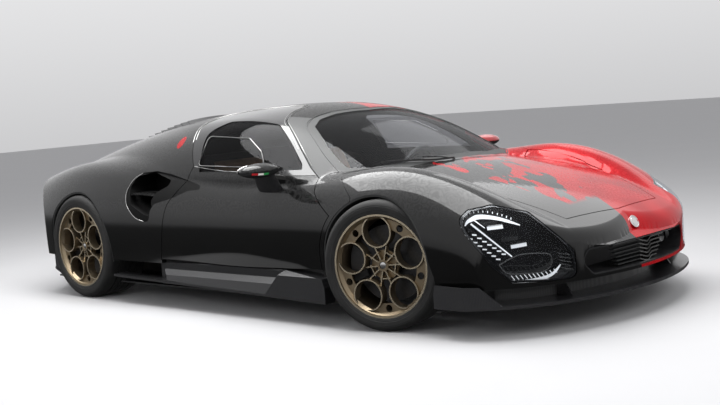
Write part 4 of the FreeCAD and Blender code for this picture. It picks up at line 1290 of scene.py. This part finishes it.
# The mirror's glass is the pod made thin, a little smaller, on the pod's rear side.
POD_MIDDLE = Vector((0.52, 1.01, 0.845))
mirror_pane = pod("mirror_glass", 0, math.tau * 0.999)
mirror_pane.data.transform(Matrix.Translation(POD_MIDDLE + Vector((-0.06, 0, 0)))
                           @ Matrix.Diagonal((0.10, 0.86, 0.80, 1)) @ Matrix.Translation(-POD_MIDDLE))
strips("mirror_glass", mirror_pane, bright, "door_SIDE")
STRIPES = ((0.45, 0.01, 0.015), (0.75, 0.74, 0.70), (0.02, 0.25, 0.06))
STRIPES_FROM, STRIPE_WIDE = -1.104, 0.036
STRIPE_TURN = -0.42                  # how far below the pod's front edge they lie
for k, colour in enumerate(STRIPES):
    stripe = finish(f"stripe_{k}", lambda place, c=colour: {
        "Base Color": place.noise(90.0).mix((*[0.8 * v for v in c], 1), (*c, 1)),
        "Roughness": 0.3 + place.noise(60.0) * 0.05})
    spots = []
    for j in range(4):
        y = STRIPES_FROM + (k + j / 3) * STRIPE_WIDE
        half_x, half_z = (np.interp(-y / MM, [row[0] for row in PODS], [row[c] for row in PODS]) + 0.6
                          for c in (1, 2))
        spots.append(((POD_X + half_x * math.cos(STRIPE_TURN)) * MM, y,
                      (POD_Z + half_z * math.sin(STRIPE_TURN)) * MM))
    finished(strap(spots, (0.2, 0, 1), 0.003, 0.011), stripe, "door_right")


# ---------------------------------------------------------------- openings' edges
# Satin lips line the wheel openings.  A bright edge follows the rear of the side intake, and
# a fin crosses its duct.
LIP = ((0.006, 0.003), (0.006, -0.007), (-0.020, -0.012), (-0.034, -0.010), (-0.034, 0.003))
LIP_STEPS = 60
for end, (x, z, r), low, high in (("front", ARCHES[0], 6, 188), ("rear", ARCHES[1], -14, 194)):
    verts = []
    for j in range(LIP_STEPS + 1):
        a = math.radians(low + (high - low) * j / LIP_STEPS)
        out = Vector((math.cos(a), 0, math.sin(a)))
        spot = (Vector((x, 0, z)) + out * (r - 4)) * MM
        side_y = SURFACE.ray_cast((spot.x, 1.4, max(spot.z, 0.260)), (0, -1, 0))[0].y - 0.009
        verts += [spot + Vector((0, side_y + depth, 0)) + out * radial for depth, radial in LIP]
    faces = [(i * 5 + c, i * 5 + (c + 1) % 5, (i + 1) * 5 + (c + 1) % 5, (i + 1) * 5 + c)
             for i in range(LIP_STEPS) for c in range(5)]
    caps = [tuple(range(5)), tuple(range(LIP_STEPS * 5, LIP_STEPS * 5 + 5))]
    finished(both_sides(made_of("arch_lip_" + end, verts, faces + caps)), satin_pillar, "chassis",
             30)
REAR_EDGE = [(-790, 829), (-850, 796), (-884, 735), (-886, 680), (-856, 621), (-778, 556), (-690, 531)]
rear_edge = between(REAR_EDGE, 5)
strips("intake_edge", bead("edge", [beside(x, z, -0.002) for x, z in rear_edge], 0.0026), bright,
       "chassis")
fin = between([(-886, 706), (-760, 708), (-640, 700), (-575, 690)], 6)
strips("intake_fin", strap([beside(x, z, -0.020) for x, z in fin], (0, 0.25, 1), 0.036, 0.006), paint,
       "chassis")


# ---------------------------------------------------------------- tail
# Below the tail's edge a red lamp strip runs from side to side over dark louvres; under it
# stand a blank plate, given the lamps' glowing white as painted light, and two exhaust pipes.
# The engine lid has seven louvres.
def behind(y, z, proud):
    """The place on the car's tail at (y, z) in mm, moved out along its face."""
    place, face, _, _ = SURFACE.ray_cast((-4, y * MM, z * MM), (1, 0, 0))
    return place + face * proud


red_glass = finish("red_glass", lambda place: {
    "Base Color": place.noise(20.0).mix((0.10, 0.002, 0.003, 1), (0.16, 0.003, 0.005, 1)),
    "Roughness": 0.06 + place.noise(40.0) * 0.04}, Coat_Weight=1.0)
dress(red_glass, "tail_lights")
LOUVRE_HEIGHTS = (615, 631, 647)
louvres = []
for z in LOUVRE_HEIGHTS:
    end_y = 715 + (z - 600) * 0.4
    louvres.append(strap([behind(y, z, -0.002) for y in np.linspace(-end_y, end_y, 41)],
                         (0, 0, 1), 0.010, 0.006))
finished(joined("tail_louvres", louvres), black_trim, "chassis")
DASH_Z, DASH_HALF = 702, 14
dashes = [strap([behind(y - DASH_HALF, DASH_Z, -0.001), behind(y + DASH_HALF, DASH_Z, -0.001)],
                (0, 0, 1), 0.004, 0.006) for y in range(-720, 721, 48) if abs(y) > 200]
red_lamp = finish("red_lamp", lambda place: {
    "Base Color": place.noise(50.0).mix((0.5, 0.01, 0.01, 1), (0.6, 0.02, 0.02, 1)),
    "Emission Color": place.noise(50.0).mix((0.9, 0.03, 0.03, 1), (1.0, 0.05, 0.04, 1)),
    "Roughness": 0.2 + place.noise(30.0) * 0.1}, Emission_Strength=0.5)
finished(joined("tail_light_dashes", dashes), red_lamp, "chassis")
plate_x = behind(0, 535, 0.004).x / MM
PLATE = [(-260, 480), (260, 480), (260, 588), (-260, 588)]
plate = cross_prism(rounded(PLATE, 12), plate_x, plate_x + 3)
plate.name = plate.data.name = "blank_plate"
# The plate is no lamp, yet its white glows: painted light.
finished(plate, white, "chassis")
PIPE_Y, PIPE_Z = 0.13, 0.408
PIPE_RINGS = [(0.050, 0), (0.052, 0.075), (0.054, 0.085), (0.054, 0.088), (0.049, 0.088),
              (0.046, 0.080), (0.045, 0.012), (0.002, 0.010)]
for side, y in (("left", PIPE_Y), ("right", -PIPE_Y)):
    foot = (behind(y / MM, PIPE_Z / MM, 0).x + 0.072, y, PIPE_Z)
    pipe = turned_disc("exhaust_" + side, PIPE_RINGS, foot, (-1, 0, 0))
    finished(pipe, bright, "chassis")
lid_louvres = []
for k in range(7):
    half = 300 - 16 * k
    line = [above(-980 - 100 * k, y, 0.003) for y in np.linspace(-half, half, 25)]
    lid_louvres.append(strap(line, (1, 0, 1.2), 0.050, 0.003))
finished(joined("engine_lid_louvres", lid_louvres), black_trim, "engine_lid")


# ---------------------------------------------------------------- floor, light and camera
# A pale studio floor under soft boxes, of which some only light the car and others only show
# in its paint.  The camera stands at the car's right front.
bpy.ops.object.select_all(action="DESELECT")
bpy.ops.mesh.primitive_plane_add(size=80)
floor = bpy.context.active_object
floor.name = "floor"


def pale_floor(place):
    mottle = place.noise(1.3, 4.0)
    return {"Base Color": mottle.mix((0.56, 0.56, 0.57, 1), (0.60, 0.60, 0.61, 1)),
            "Roughness": 0.62 + mottle * 0.1}


floor.data.materials.append(finish("floor", pale_floor))
floor.visible_glossy = False

world = bpy.data.worlds.new("studio")
bpy.context.scene.world = world
world.use_nodes = True
sky = Wire(world.node_tree)
ray = lambda kind: sky.node("LightPath", {}, {}, kind)
seen = ray("Is Camera Ray").most(ray("Is Glossy Ray")).most(ray("Is Transmission Ray"))
back = world.node_tree.nodes["Background"]
height = sky.node("TexCoord", {}, {}, "Generated").part("Z")
wall = height.step(-0.15, 0.20).mix((0.50, 0.50, 0.51, 1), (0.84, 0.84, 0.85, 1))
room = height.step(-0.12, -0.03).mix((0.06, 0.06, 0.06, 1), wall)
world.node_tree.links.new(seen.mix((0.42, 0.42, 0.43, 1), room).socket, back.inputs[0])


def soft_box(name, place, aim, width, depth, watts, shown=True, lights=True):
    """An area lamp, which may be shown in the paint only or light the room only."""
    lamp = bpy.data.lights.new(name, "AREA")
    lamp.shape, lamp.size, lamp.size_y, lamp.energy = "RECTANGLE", width, depth, watts
    thing = bpy.data.objects.new(name, lamp)
    thing.visible_camera = False
    thing.visible_glossy, thing.visible_diffuse = shown, lights
    thing.location = place
    thing.rotation_mode = "QUATERNION"
    thing.rotation_quaternion = (Vector(aim) - Vector(place)).to_track_quat("-Z", "Y")
    bpy.context.scene.collection.objects.link(thing)


soft_box("overhead", (0.0, -0.6, 4.6), (0, 0, 0), 7.0, 2.2, 330, shown=False)
soft_box("ceiling", (-0.9, -1.0, 4.8), (-0.9, -0.999, 0), 6.0, 5.0, 700, lights=False)
soft_box("front", (6.5, -1.0, 3.6), (0.8, 0, 0.5), 3.0, 2.5, 110, shown=False)
soft_box("side", (-1.0, -7.0, 3.4), (-0.4, 0, 0.6), 6.0, 1.8, 90, shown=False)
soft_box("bonnet", (-0.6, 5.8, 5.3), (1.7, -0.5, 0.7), 4.0, 2.4, 40, lights=False)

bpy.data.objects.remove(form)
camera = bpy.data.objects.new("camera", bpy.data.cameras.new("camera"))
camera.data.lens = 56.48
camera.data.sensor_width = 36
camera.data.clip_start, camera.data.clip_end = 0.1, 200
yaw, pitch, roll = (math.radians(a) for a in (44.255, 5.327, -4.507))
ahead = Vector((-math.sin(yaw) * math.cos(pitch), math.cos(yaw) * math.cos(pitch), -math.sin(pitch)))
right = Vector((math.cos(yaw), math.sin(yaw), 0))
above = right.cross(ahead)
level, plumb = right.copy(), above.copy()
right = level * math.cos(roll) + plumb * math.sin(roll)
above = plumb * math.cos(roll) - level * math.sin(roll)
stand = Matrix((right, above, -ahead)).transposed().to_4x4()
stand.translation = (5.21564, -5.06092, 1.20298)
camera.matrix_world = stand
bpy.context.scene.collection.objects.link(camera)
bpy.context.scene.camera = camera
bpy.context.scene.view_settings.view_transform = "Standard"
